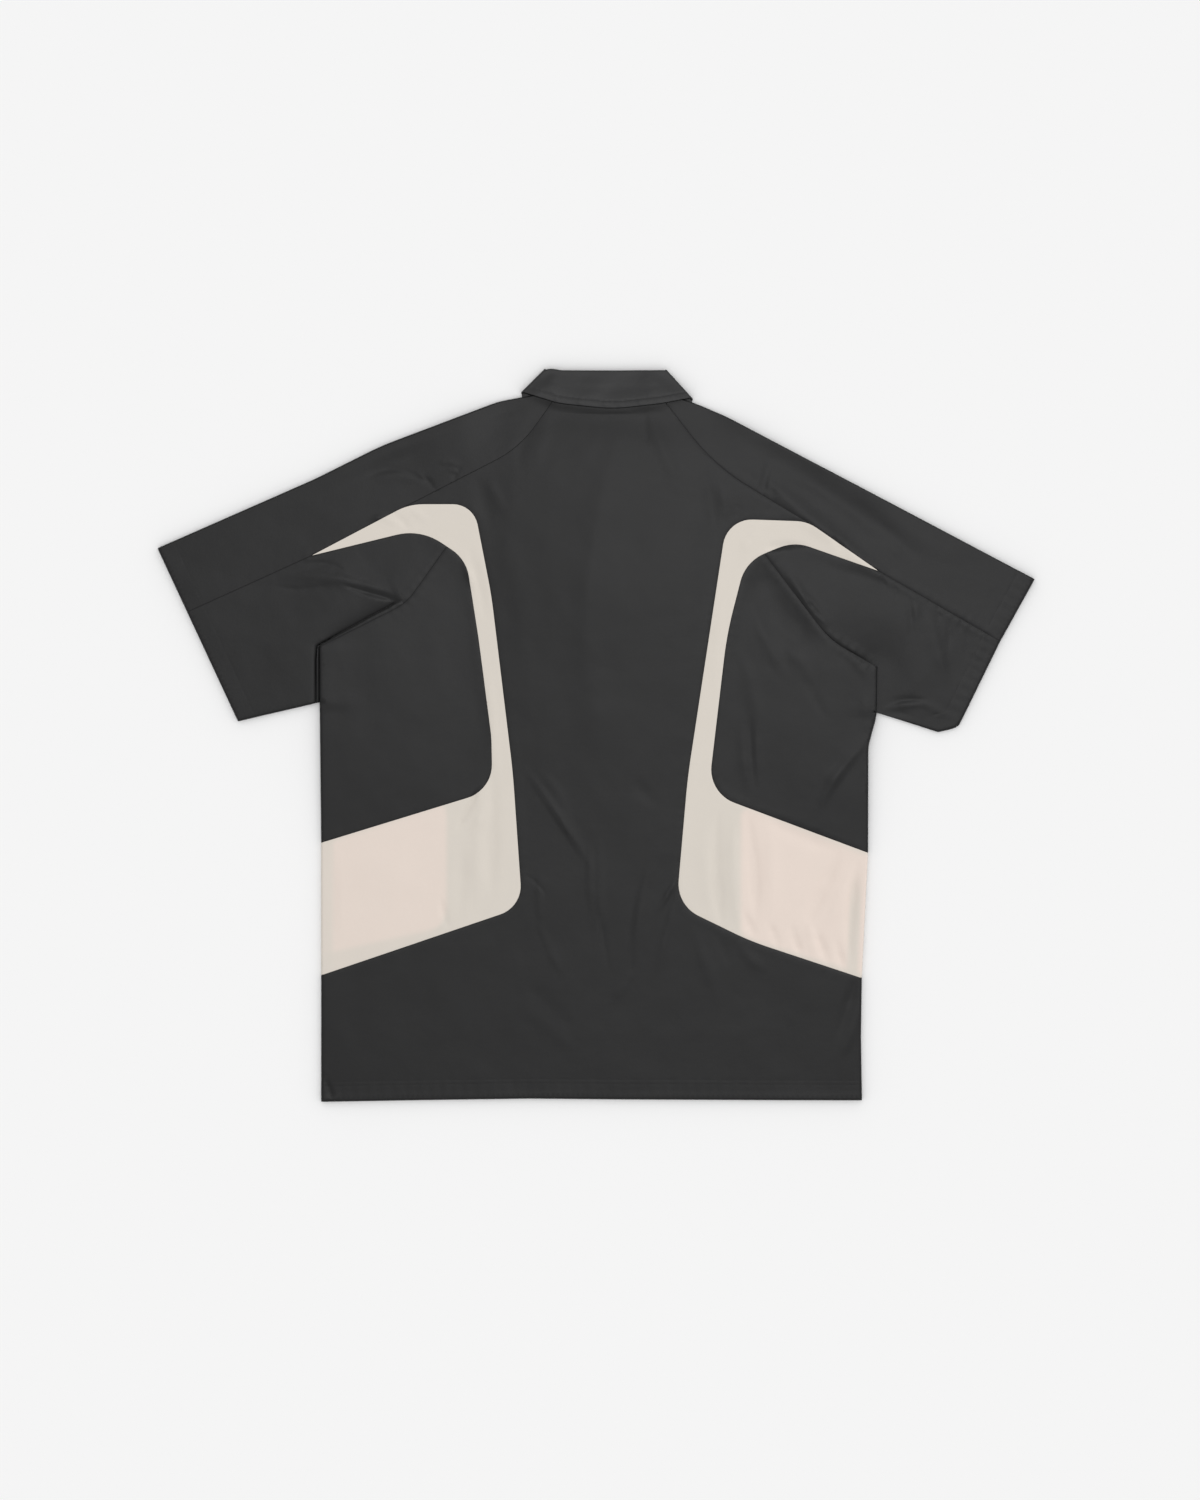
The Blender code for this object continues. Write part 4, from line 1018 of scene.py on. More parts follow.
def thread(name, rows, pitch=3.1, long=2.4, wide=0.30, high=0.24):
    """Rows of stitches: rows of (line, height at a point, which way is up: 1 or -1)."""
    section = [(math.cos(a), math.sin(a)) for a in np.linspace(0, 2 * math.pi, 6, endpoint=False)]
    stations = [(-0.5, 0.25), (-0.34, 0.85), (0.0, 1.0), (0.34, 0.85), (0.5, 0.25)]
    points, faces = [], []
    base = 0
    for line, height, up in rows:
        seg = np.linalg.norm(np.diff(line, axis=0), axis=1)
        at = np.concatenate([[0], np.cumsum(seg)])
        starts = np.arange(pitch / 2, at[-1] - pitch / 2, pitch)
        mid = np.c_[np.interp(starts, at, line[:, 0]), np.interp(starts, at, line[:, 1])]
        lo = np.c_[np.interp(starts - 0.6, at, line[:, 0]), np.interp(starts - 0.6, at, line[:, 1])]
        hi = np.c_[np.interp(starts + 0.6, at, line[:, 0]), np.interp(starts + 0.6, at, line[:, 1])]
        along = hi - lo
        along /= np.linalg.norm(along, axis=1)[:, None]
        across = np.c_[-along[:, 1], along[:, 0]]
        ends = [height(*(mid + along * long * f).T) for f in (-0.5, 0.0, 0.5)]
        for f, (share, size) in enumerate(stations):
            centre = mid + along * (long * share)
            z = np.interp(share, (-0.5, 0, 0.5), (0, 1, 2))
            zc = ends[0] * max(0, 1 - z) + ends[1] * (1 - abs(1 - z)) + ends[2] * max(0, z - 1)
            dip = up * (-0.05 - 0.20 * (abs(share) * 2) ** 2)
            for cx, cz in section:
                xy = centre + across * (wide / 2 * size * cx)
                points.append(np.c_[xy, zc + dip + high / 2 * size * cz])
        count = len(mid)
        block = len(stations) * 6
        index = np.arange(count)[:, None]
        for f in range(len(stations) - 1):
            for k in range(6):
                a = base + (f * 6 + k) * count + index
                b = base + (f * 6 + (k + 1) % 6) * count + index
                c = base + ((f + 1) * 6 + (k + 1) % 6) * count + index
                d = base + ((f + 1) * 6 + k) * count + index
                faces += [np.hstack([a, c, b]), np.hstack([a, d, c])]
        for f, flip in ((0, False), (len(stations) - 1, True)):
            for k in range(1, 5):
                a, b, c = [base + (f * 6 + j) * count + index for j in (0, k, k + 1)]
                faces.append(np.hstack([a, c, b] if flip else [a, b, c]))
        base += block * count
    faces = np.vstack(faces)
    return mesh_object(name, np.vstack(points), faces[:, ::-1])


def offset_line(line, d, left=True):
    """The line moved sideways."""
    t = np.gradient(line, axis=0)
    t /= np.maximum(np.linalg.norm(t, axis=1), 1e-9)[:, None]
    n = np.c_[-t[:, 1], t[:, 0]] * (1 if left else -1)
    return line + n * d


# ---- materials ------------------------------------------------------------------------------------------------------------
def nodes_of(name):
    mat = bpy.data.materials.new(name)
    mat.use_nodes = True
    tree = mat.node_tree
    return mat, tree, tree.nodes["Principled BSDF"]


def add(tree, kind, **inputs):
    node = tree.nodes.new(kind)
    for key, value in inputs.items():
        if key in node.inputs:
            node.inputs[key].default_value = value
        else:
            setattr(node, key, value)
    return node


def math_node(tree, operation, a, b):
    node = tree.nodes.new("ShaderNodeMath")
    node.operation = operation
    for k, v in enumerate((a, b)):
        if isinstance(v, (int, float)):
            node.inputs[k].default_value = v
        else:
            tree.links.new(v, node.inputs[k])
    return node.outputs[0]


def cloth_material(name, colour, grain=0.0, roughness=0.43, specular=0.105, sheen=0.0, mottle_and_stitch_shade=0.05, warm=None, bump=1.0):
    """Fine matt knit: columns of stitches along the grain, crossed by courses, with fibre noise and faint mottling."""
    mat, tree, shader = nodes_of(name)
    link = tree.links.new
    shader.inputs["Roughness"].default_value = roughness
    shader.inputs["Specular IOR Level"].default_value = specular
    shader.inputs["Sheen Weight"].default_value = sheen
    shader.inputs["Sheen Roughness"].default_value = 0.5
    where = tree.nodes.new("ShaderNodeTexCoord")
    turn = tree.nodes.new("ShaderNodeMapping")
    turn.inputs["Rotation"].default_value = (0, 0, grain)
    link(where.outputs["Object"], turn.inputs["Vector"])
    spot = turn.outputs["Vector"]

    wander = add(tree, "ShaderNodeTexNoise", Scale=210.0, Detail=2.0)
    link(spot, wander.inputs["Vector"])
    shift = tree.nodes.new("ShaderNodeVectorMath")
    shift.operation = "MULTIPLY_ADD"
    shift.inputs[1].default_value = (0.00045, 0.00045, 0.00045)
    link(wander.outputs["Color"], shift.inputs[0])
    link(spot, shift.inputs[2])

    wales = add(tree, "ShaderNodeTexWave", Scale=0.314 / 0.0011)
    wales.bands_direction = "X"
    link(shift.outputs[0], wales.inputs["Vector"])
    courses = add(tree, "ShaderNodeTexWave", Scale=0.314 / 0.0009)
    courses.bands_direction = "Y"
    link(shift.outputs[0], courses.inputs["Vector"])
    fibre = add(tree, "ShaderNodeTexNoise", Scale=1500.0, Detail=3.0, Roughness=0.6)
    link(spot, fibre.inputs["Vector"])
    soft = add(tree, "ShaderNodeTexNoise", Scale=330.0, Detail=3.0, Roughness=0.55)
    link(spot, soft.inputs["Vector"])
    broad = add(tree, "ShaderNodeTexNoise", Scale=26.0, Detail=3.0, Roughness=0.5)
    link(where.outputs["Object"], broad.inputs["Vector"])

    knit = math_node(tree, "MULTIPLY", wales.outputs["Fac"], courses.outputs["Fac"])
    relief = math_node(tree, "ADD", math_node(tree, "MULTIPLY", knit, 0.55),
                       math_node(tree, "ADD", math_node(tree, "MULTIPLY", fibre.outputs["Fac"], 0.45),
                                 math_node(tree, "MULTIPLY", soft.outputs["Fac"], 0.9)))
    rise = add(tree, "ShaderNodeBump", Strength=0.5 * bump, Distance=0.00016)
    link(relief, rise.inputs["Height"])
    link(rise.outputs["Normal"], shader.inputs["Normal"])

    # value of the colour: mottled, and a little darker between the stitches, which is painted shade
    value = math_node(tree, "ADD", math_node(tree, "MULTIPLY", math_node(tree, "SUBTRACT", broad.outputs["Fac"], 0.5), 2.2 * mottle_and_stitch_shade),
                      math_node(tree, "MULTIPLY", math_node(tree, "SUBTRACT", soft.outputs["Fac"], 0.5), 2.0 * mottle_and_stitch_shade))
    value = math_node(tree, "ADD", value, math_node(tree, "MULTIPLY", math_node(tree, "SUBTRACT", fibre.outputs["Fac"], 0.5), 1.6 * mottle_and_stitch_shade))
    # painted shade between the stitches: darker where the knit's relief is low
    value = math_node(tree, "ADD", value, math_node(tree, "MULTIPLY", math_node(tree, "SUBTRACT", knit, 0.3), 1.3 * mottle_and_stitch_shade))
    value = math_node(tree, "ADD", value, 1.0)
    tone = add(tree, "ShaderNodeMix")
    tone.data_type = "RGBA"
    tone.blend_type = "MULTIPLY"
    tone.inputs["Factor"].default_value = 1.0
    if warm is None:
        tone.inputs["A"].default_value = (*colour, 1)
        tone.inputs[6].default_value = (*colour, 1)
    else:
        under = tree.nodes.new("ShaderNodeAttribute")
        under.attribute_name = "cream_under_with_painted_shade"
        mix = add(tree, "ShaderNodeMix")
        mix.data_type = "RGBA"
        mix.inputs[6].default_value = (*colour, 1)
        mix.inputs[7].default_value = (*warm, 1)
        link(under.outputs["Fac"], mix.inputs[0])
        link(mix.outputs[2], tone.inputs[6])
    grey = tree.nodes.new("ShaderNodeCombineColor")
    for k in range(3):
        link(value, grey.inputs[k])
    link(grey.outputs[0], tone.inputs[7])
    tone.inputs[0].default_value = 1.0
    link(tone.outputs[2], shader.inputs["Base Color"])
    mat.diffuse_color = (*colour, 1)
    return mat


def thread_material(name, colour):
    mat, tree, shader = nodes_of(name)
    shader.inputs["Roughness"].default_value = 0.5
    shader.inputs["Specular IOR Level"].default_value = 0.08
    where = tree.nodes.new("ShaderNodeTexCoord")
    twist = add(tree, "ShaderNodeTexNoise", Scale=2400.0, Detail=2.0)
    tree.links.new(where.outputs["Object"], twist.inputs["Vector"])
    ramp = tree.nodes.new("ShaderNodeValToRGB")
    ramp.color_ramp.elements[0].position = 0.3
    ramp.color_ramp.elements[0].color = (*[c * 0.8 for c in colour], 1)
    ramp.color_ramp.elements[1].position = 0.7
    ramp.color_ramp.elements[1].color = (*[c * 1.2 for c in colour], 1)
    tree.links.new(twist.outputs["Fac"], ramp.inputs["Fac"])
    tree.links.new(ramp.outputs["Color"], shader.inputs["Base Color"])
    return mat


def button_material(name, colour):
    mat, tree, shader = nodes_of(name)
    shader.inputs["Roughness"].default_value = 0.38
    where = tree.nodes.new("ShaderNodeTexCoord")
    cloud = add(tree, "ShaderNodeTexNoise", Scale=260.0, Detail=4.0, Roughness=0.6)
    tree.links.new(where.outputs["Object"], cloud.inputs["Vector"])
    ramp = tree.nodes.new("ShaderNodeValToRGB")
    ramp.color_ramp.elements[0].position = 0.3
    ramp.color_ramp.elements[0].color = (*[c * 0.7 for c in colour], 1)
    ramp.color_ramp.elements[1].position = 0.75
    ramp.color_ramp.elements[1].color = (*[c * 1.4 for c in colour], 1)
    tree.links.new(cloud.outputs["Fac"], ramp.inputs["Fac"])
    tree.links.new(ramp.outputs["Color"], shader.inputs["Base Color"])
    return mat


CHARCOAL = (0.0106, 0.0106, 0.0108)
COLLAR = (0.0178, 0.0178, 0.0181)
CREAM, CREAM_WARM = (0.606, 0.561, 0.504), (0.695, 0.601, 0.540)
BODY = cloth_material("charcoal_knit", CHARCOAL)
SLEEVE = {"left": cloth_material("charcoal_knit_left", CHARCOAL, grain=math.radians(-66)),
          "right": cloth_material("charcoal_knit_right", CHARCOAL, grain=math.radians(62))}
COLLAR_KNIT = cloth_material("collar_knit", COLLAR, mottle_and_stitch_shade=0.06)
CREAM_KNIT = cloth_material("cream_knit", CREAM, warm=CREAM_WARM, mottle_and_stitch_shade=0.012)
THREAD = thread_material("charcoal_thread", (0.0112, 0.0112, 0.0114))
COLLAR_THREAD = thread_material("collar_thread", (0.017, 0.017, 0.0173))
BUTTON = button_material("button_plastic", (0.05, 0.05, 0.052))


def flat_size(runs, loops=1):
    """(width, length) in metres of the pattern piece, and its area, from its outline."""
    loop, _ = inset_outline([(line, 0.0, False) for line, _, _ in runs])
    centred = loop - loop.mean(0)
    _, _, axes = np.linalg.svd(centred, full_matrices=False)
    best = None
    for k in range(90):
        a = math.radians(k)
        r = loop @ np.array(((math.cos(a), -math.sin(a)), (math.sin(a), math.cos(a))))
        w, h = r.max(0) - r.min(0)
        if best is None or w * h < best[0] * best[1]:
            best = (w, h)
    x, y = loop[:, 0], loop[:, 1]
    area = abs((x * np.roll(y, -1) - np.roll(x, -1) * y).sum()) / 2
    return (min(best) * MM, max(best) * MM), area * MM * MM


def finish_piece(obj, node, material, flat, area):
    obj.data.materials.append(material)
    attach(obj, "root")
    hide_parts(node)


def sewn(*lines, extra=0.0):
    return [(line, SEWN + extra, False) for line in lines]


def finer(rows, widest=5.0):
    """Rows of points along the narrow creases."""
    out = []
    for row in rows:
        if row.width <= widest:
            line = spaced(curve(row), 1.9)
            out.append((line, [k * row.width for k in (-1.4, -0.7, 0, 0.7, 1.4)]))
    return out


NARROW = finer(CREASES)
HEM_EXTRA = [(offset_line(hem, d), (-1.1, -0.5, 0, 0.5, 1.1)) for d in HEM_ROWS]
DROP_EXTRA = [(spaced(DROP, 1.6), (-4.4, -3.0, -1.9, -1.1, -0.4, 0.3, 0.9, 1.6))]
CUFF_EXTRA = {s: [(offset_line(L[s]["cuff"], d, left=(s == "left")), (-1.1, -0.5, 0, 0.5, 1.1)) for d in CUFF_ROWS]
              for s in ("left", "right")}


def piece(name, node, runs, height, material, grid=FINE, thickness=None, extra=()):
    sheet = sheet_of(runs, height, thickness or wall(0.0), grid, extra)
    obj = shell(name, [sheet])
    flat, area = flat_size(runs)
    finish_piece(obj, node, material, flat, area)
    return obj


# ---- the back ---------------------------------------------------------------------------------------------------------------
a, b = L["left"], L["right"]
up_body, up_sleeve, low_body, low_sleeve = upper(body_over), upper(sleeve_over), lower(body_base), lower(sleeve_base)
back_centre = piece("back_centre_cloth", "back_centre", sewn(
    neck_back_mid, b["raglan"], b["outer_body"], b["side_low"], back_of(hem), back_of(a["side_low"]),
    back_of(a["outer_body"]), back_of(a["raglan"])), up_body, BODY,
    thickness=wall(0.2), extra=NARROW + HEM_EXTRA)
insets = {}
for side in ("left", "right"):
    s = L[side]
    piece(f"side_{side}_cloth", f"side_{side}", sewn(s["armhole"], s["side_top"], back_of(s["inner_body"])), up_body,
          BODY, extra=NARROW)
    insets[side] = piece(f"inset_{side}_cloth", f"inset_{side}", sewn(s["outer"], back_of(s["side_band"]), back_of(s["inner"])),
                         up_body, CREAM_KNIT, extra=NARROW)

# ---- the sleeves --------------------------------------------------------------------------------------------------------------
for side in ("left", "right"):
    s = L[side]
    reach = CLOTH / 2 + FOLD_REACH
    fold = [(s["shoulder"], reach, True)]
    top = fold + sewn(s["cuff_upper"], back_of(s["sleeve_seam"]), s["outer_sleeve"], back_of(s["raglan"]),
                      back_of(s["neck_back_sleeve"]))
    face_down = fold + sewn(s["cuff"], s["underarm"], s["flap"], back_of(s["raglan_front"]),
                            back_of(s["neck_front_sleeve"]))
    sheets = [sheet_of(top, up_sleeve, wall(0.2), FINE, NARROW + CUFF_EXTRA[side]),
              sheet_of(face_down, low_sleeve, wall(0.2), PLAIN)]
    obj = shell(f"sleeve_upper_{side}_cloth", sheets, turns=(FOLD_REACH,))
    (w1, l1), a1 = flat_size(top)
    (w2, l2), a2 = flat_size(face_down)
    finish_piece(obj, f"sleeve_upper_{side}", SLEEVE[side], (w1 + w2, max(l1, l2)), a1 + a2)
    piece(f"sleeve_under_{side}_cloth", f"sleeve_under_{side}", sewn(
        s["cuff_under"], s["underarm"], s["flap"], back_of(s["armhole"]), back_of(s["inner_sleeve"]), s["sleeve_seam"]),
        up_sleeve, SLEEVE[side], thickness=wall(0.2),
        extra=(DROP_EXTRA if side == "left" else []) + NARROW + CUFF_EXTRA[side])

# ---- the front ----------------------------------------------------------------------------------------------------------------
piece("front_cloth", "front", sewn(
    neck_front_mid, b["raglan_front"], b["side_top"], b["front_band"], b["side_low"], back_of(hem),
    back_of(a["side_low"]), back_of(a["front_band"]), back_of(a["side_top"]), back_of(a["raglan_front"])),
    low_body, BODY, grid=PLAIN, thickness=wall(0.2))
for side in ("left", "right"):
    s = L[side]
    piece(f"front_band_{side}_cloth", f"front_band_{side}", sewn(s["front_band"], back_of(s["side_band"])), low_body,
          CREAM_KNIT, grid=PLAIN)


# on the right, the strip beside the side seam is partly seam allowance and partly a painted shadow of a fold
ALLOWANCE_AND_FOLD_SHADE = {  # dark seam allowances under the cream: beside the side seam, at the band's lower seam (inner end, side seam)
    "left": (0.0, 12.5, 7.0, 21.0, 0.0, 3.0),   # and at its upper seam (the same)
    "right": (5.0, 16.5, 2.0, 5.0, 1.5, 3.5),
}


def cream_under_with_painted_shade(side):
    """1 where the cream band of the front lies under the cream of the back and shows through it, less over the dark
    seam allowances; on the right the strip beside the side seam is also a painted shadow of a fold.
    """
    loop = np.vstack([L[side]["front_band"], back_of(L[side]["side_band"])[1:-1]])
    end = thin(L[side]["front_band"], 5)
    from_side, at_side, at_end, at_seam, top_end, top_seam = ALLOWANCE_AND_FOLD_SHADE[side]
    high_seam = thin(L[side]["inner_body"], 5)
    low_seam = thin(L[side]["outer_body"], 5)
    side_seam = thin(L[side]["side_band"], 5)

    def value(x, y, z):
        d = from_line(x, y, end)[0]
        v = np.where(inside(x, y, loop), smooth(0.5 + d / 7), smooth(0.5 - d / 7))
        away = from_line(x, y, side_seam)[0]
        strip = (0.75 if side == "left" else 1.0) * (1 - smooth(0.5 + (away - at_side) / 6))
        if from_side:  # partly seam allowance, partly a painted shadow of a fold: turned inward, so that it starts away from the seam, and widens to the hem
            strip = 0.8 * strip * smooth(0.5 + (away - from_side) / 4) * smooth((-y - 140) / 50)
        v = v * (1 - strip)
        t = np.clip(away / 130, 0, 1)
        v = v * (1 - 0.8 * (1 - smooth(0.5 + (from_line(x, y, low_seam)[0] - (at_seam + (at_end - at_seam) * t)) / 8)))
        v = v * (1 - 0.7 * (1 - smooth(0.5 + (from_line(x, y, high_seam)[0] - (top_seam + (top_end - top_seam) * t)) / 8)))
        return v * (0.84 if side == "left" else 1.0)
    return value


for side, obj in insets.items():
    point_value(obj, "cream_under_with_painted_shade", cream_under_with_painted_shade(side))


# ---- the collar ---------------------------------------------------------------------------------------------------------------
leaf_mid = LEAF_LEVEL + LEAF_CLOTH / 2
leaf_reach = CLOTH / 2 + LEAF_REACH
slopes = {side: rounded(LEAF_SLOPE[side], 1.6) for side in ("left", "right")}
leaf_top, leaf_low = rounded(LEAF_TOP, 1.6), rounded(LEAF_LOW, 1.6)
LEAF_WAVES = [Crease(row.split()[0], *(float(v) for v in row.split()[1:])) for row in """
    leaf_left_soft     -48   386   -45   376   -50   366     8   0.5     0
    leaf_centre_soft     2   388     0   372     6   356    12   0.4     0
    leaf_right_soft     50   387    58   374    60   360     9   0.5     0
    leaf_pucker_a      -20   360   -18   356   -18   352   2.5   0.3     0
    leaf_pucker_b        8   358     9   354     9   350   2.5   0.3     0
    leaf_pucker_c       24   359    25   355    26   350   2.5   0.3     0
    leaf_pucker_d       46   361    47   357    47   352   2.5   0.3     0
    leaf_pucker_e       66   364    66   359    68   354   2.5   0.3     0
    leaf_pucker_f      -44   366   -43   361   -42   356   2.5   0.3     0
""".strip().splitlines()]
TOPSTITCH = 7.2  # of the collar, from its lower edge
low_line, top_line = thin(leaf_low, 4), thin(leaf_top, 4)
slope_lines = [thin(slopes[k], 4) for k in slopes]


def leaf_height(x, y):
    low_d, s, _ = from_line(x, y, low_line)
    top_d = from_line(x, y, top_line)[0]
    slope_d = np.minimum(*(from_line(x, y, k)[0] for k in slope_lines))
    z = leaf_mid + 0.9 * smooth(np.minimum(low_d, top_d) / 16) * smooth(slope_d / 18)
    z = z + 4.2 * np.exp(-(low_d / 16) ** 2) * (0.5 + 0.5 * smooth(slope_d / 16))
    z = z + creases(x, y, LEAF_WAVES) * smooth(slope_d / 12) * smooth(top_d / 6)
    z = z - 0.32 * np.exp(-((low_d - TOPSTITCH) / 0.9) ** 2) + 0.16 * np.exp(-((low_d - 3.6) / 2.6) ** 2)
    z = z + 0.07 * np.sin(2 * math.pi * s / 6.3 + 1.5 * np.sin(s / 19)) * np.exp(-((low_d - 6) / 4) ** 2)
    z = z + ripple(x, y, ((24, 0.3), (9, 0.08)), 5.0) * smooth(top_d / 6)
    radius = 2.0
    roll = np.clip(1 - top_d / radius, 0, 0.999)
    return z - radius * (1 - np.sqrt(1 - roll ** 2)) * 0.85


leaf_top_run = [(leaf_top, SEAM + 0.5, False)]
back_leaf = leaf_top_run + [(slopes["right"], leaf_reach, True), (back_of(leaf_low), SEWN, False),
                            (back_of(slopes["left"]), leaf_reach, True)]
leaf_extra = [(offset_line(leaf_low, TOPSTITCH), (-1.1, -0.5, 0, 0.5, 1.1)), (offset_line(leaf_top, 1.2, left=False), (-0.5, 0, 0.5))]
sheets = [sheet_of(back_leaf, leaf_height, lambda x, y: np.full(np.shape(x), LEAF_CLOTH), 1.7, leaf_extra)]
front_runs = []
for side in ("left", "right"):
    runs = [(rounded(LEAF_FRONT[side], 2.0), SEWN, False), (slopes[side], leaf_reach, True)]
    front_runs.append(runs)
    sheets.append(sheet_of(runs, level(CLOTH / 2), wall(0.0), 3.4))
leaf = shell("collar_leaf_cloth", sheets, turns=(LEAF_REACH,))
(w0, l0), a0 = flat_size(back_leaf)
fronts = [flat_size(r) for r in front_runs]
# the leaf is cut as one band: its back and its two face-down ends, turned on the slopes
finish_piece(leaf, "collar_leaf", COLLAR_KNIT,
             (fronts[0][0][0] + 0.03, l0 + fronts[0][0][1] + fronts[1][0][1]), a0 + fronts[0][1] + fronts[1][1])

stand_reach = CLOTH / 2 + LAYER / 2
stand_slope, foot_back, foot_front, stand_fold = {}, {}, {}, {}
for side in ("left", "right"):
    top, foot, at_back, at_front = [np.array((r.x, r.y)) for r in STAND_SLOPE[side]]
    stand_slope[side] = spaced(np.array([top, foot]), 2.0)
    foot_back[side] = np.array([foot, split(neck_back, at_back)[0][-1]])
    foot_front[side] = np.array([foot, split(neck_front, at_front)[0][-1]])
    stand_fold[side] = rounded(STAND_FRONT[side])
neck_stand = split(split(neck_back, foot_back["left"][1])[1], foot_back["right"][1])[0]
back_stand = sewn(spaced(np.array([stand_slope["left"][0], stand_slope["right"][0]]), 3.0)) + [
    (stand_slope["right"], stand_reach, True)] + sewn(foot_back["right"], back_of(neck_stand),
                                                      back_of(foot_back["left"])) + [
    (back_of(stand_slope["left"]), stand_reach, True)]
sheets = [sheet_of(back_stand, level(CLOTH / 2 + 2 * LAYER), wall(0.0), 3.4)]
stand_area = flat_size(back_stand)
for side, centre_x in (("left", 14.0), ("right", 16.0)):
    line = neck_front if side == "left" else back_of(neck_front)
    line = split(split(line, foot_front[side][1])[1], (centre_x, 286.0))[0]
    runs = sewn(stand_fold[side], np.array([stand_fold[side][-1], line[-1]]), back_of(line),
                back_of(foot_front[side])) + [(back_of(stand_slope[side]), stand_reach, True)]
    sheets.append(sheet_of(runs, level(CLOTH / 2 + LAYER), wall(0.0), 3.4))
    (w, l), ar = flat_size(runs)
    stand_area = ((max(stand_area[0][0], w), stand_area[0][1] + l), stand_area[1] + ar)
stand = shell("collar_stand_cloth", sheets, turns=(LAYER / 2,))
finish_piece(stand, "collar_stand", COLLAR_KNIT, stand_area[0], stand_area[1])

# ---- the placket and its buttons ------------------------------------------------------------------------------------------------
centre, top_y = PLACKET_LIFT.x0, 281.0
x0, x1, y1 = centre - PLACKET_WIDTH / 2, centre + PLACKET_WIDTH / 2, top_y - PLACKET_LENGTH
strip = spaced(np.array([(x0, top_y), (x1, top_y), (x1, y1), (x0, y1), (x0, top_y)]), 2.6)
placket_z = BUTTON_THICKNESS + GAP + CLOTH / 2
HOLES = [top_y - 16 - k * BUTTON_STEP for k in range(3)]


def placket_height(x, y):
    """Seen from below: pressed edges, a dip at the stitches, and a stitched slit behind each button."""
    d = np.minimum(np.minimum(x - x0, x1 - x), np.minimum(y - y1, top_y - y))
    z = placket_z + 0.12 * np.exp(-((d - 3) / 0.8) ** 2)
    for k in HOLES:
        z = z + 0.15 * np.exp(-((x - centre) / 1.0) ** 2) * smooth((8 - np.abs(y - k)) / 2)
    return z


runs = [(strip, SEAM + RIM, False)]
obj = shell("placket_cloth", [sheet_of(runs, placket_height, wall(0.0), 2.2)])
finish_piece(obj, "placket", BODY, (PLACKET_WIDTH * MM, PLACKET_LENGTH * MM),
             PLACKET_WIDTH * PLACKET_LENGTH * MM * MM)


def button(number, x, y):
    """A turned button, face down, with a plain hollow face: rows of (radius, height) round its axis."""
    r, t = BUTTON_DIAMETER / 2, BUTTON_THICKNESS
    rows = [(0.0, 0.42), (r - 2.6, 0.40), (r - 2.1, 0.30), (r - 1.7, 0.06), (r - 1.3, 0.0), (r - 0.7, 0.02), (r - 0.2, 0.22),
            (r, 0.6), (r - 0.05, 1.0), (r - 0.35, 1.32), (r - 0.9, t), (0.0, t)]
    steps = 48
    points, faces = [], []
    for pr, pz in rows:
        for k in range(steps):
            a = 2 * math.pi * k / steps
            px, py = pr * math.cos(a), pr * math.sin(a)
            points.append((x + px, y + py, pz))
    for i in range(len(rows) - 1):
        for k in range(steps):
            p, q = i * steps + k, i * steps + (k + 1) % steps
            faces.append((p, q, q + steps))
            faces.append((p, q + steps, p + steps))
    obj = mesh_object(f"button_{number}_turned", np.array(points), np.array(faces)[:, ::-1])
    bm_weld(obj)
    return obj


def bm_weld(obj):
    import bmesh
    bm = bmesh.new()
    bm.from_mesh(obj.data)
    bmesh.ops.remove_doubles(bm, verts=bm.verts[:], dist=1e-6)
    bmesh.ops.dissolve_degenerate(bm, edges=bm.edges[:], dist=1e-7)
    bmesh.ops.recalc_face_normals(bm, faces=bm.faces[:])
    for f in bm.faces:
        f.smooth = True
    bm.to_mesh(obj.data)
    bm.free()


for number, y in enumerate(HOLES, 1):
    obj = button(number, centre, y)
    obj.data.materials.append(BUTTON)
    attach(obj, "root")
    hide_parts(f"button_{number}")

# ---- the stitches ---------------------------------------------------------------------------------------------------------------
def surface(height, thickness, up, sunk=0.0):
    """Height of the cloth's outer face, where the stitches lie; those of the lower side sink into it."""
    return lambda x, y: height(x, y) + up * thickness(x, y) / 2 + sunk


hem_rows = []
hem_inner = split(split(hem, (-289, -391))[1], (279, -390.6))[0]
for d in HEM_ROWS:
    line = offset_line(hem_inner, d)
    hem_rows.append((line, surface(up_body, wall(0.2), 1), 1))
hem_under = [(offset_line(hem_inner, d), surface(low_body, wall(0.2), -1, 0.17), -1) for d in HEM_ROWS]
groups = [("hem_stitches_back", hem_rows, THREAD, "charcoal_cloth"), ("hem_stitches_front", hem_under, THREAD, "charcoal_cloth")]
for side in ("left", "right"):
    rows = []
    for d in CUFF_ROWS:
        line = offset_line(L[side]["cuff"], d, left=(side == "left"))
        line = line[(from_line(line[:, 0], line[:, 1], L[side]["shoulder"])[0] > 3.2)
                    & (from_line(line[:, 0], line[:, 1], L[side]["underarm"])[0] > 2.0)
                    & inside(line[:, 0], line[:, 1], np.vstack([L[side]["shoulder"], L[side]["cuff"], L[side]["underarm"],
                                                                L[side]["flap"], back_of(L[side]["raglan_front"])]))]
        rows.append((line, surface(up_sleeve, wall(0.2), 1), 1))
        rows.append((line, surface(low_sleeve, wall(0.2), -1, 0.17), -1))
    groups.append((f"cuff_stitches_{side}", rows, THREAD, "charcoal_cloth"))
leaf_inner = split(split(leaf_low, (-72, 365))[1], (96, 359.6))[0]
groups.append(("collar_stitches", [(offset_line(leaf_inner, TOPSTITCH), surface(leaf_height, lambda x, y: np.full(np.shape(x), LEAF_CLOTH), 1), 1)],
               COLLAR_THREAD, "collar_cloth"))
for name, rows, mat, slot in groups:
    obj = thread(name, rows)
    obj.data.materials.append(mat)
    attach(obj, "root")

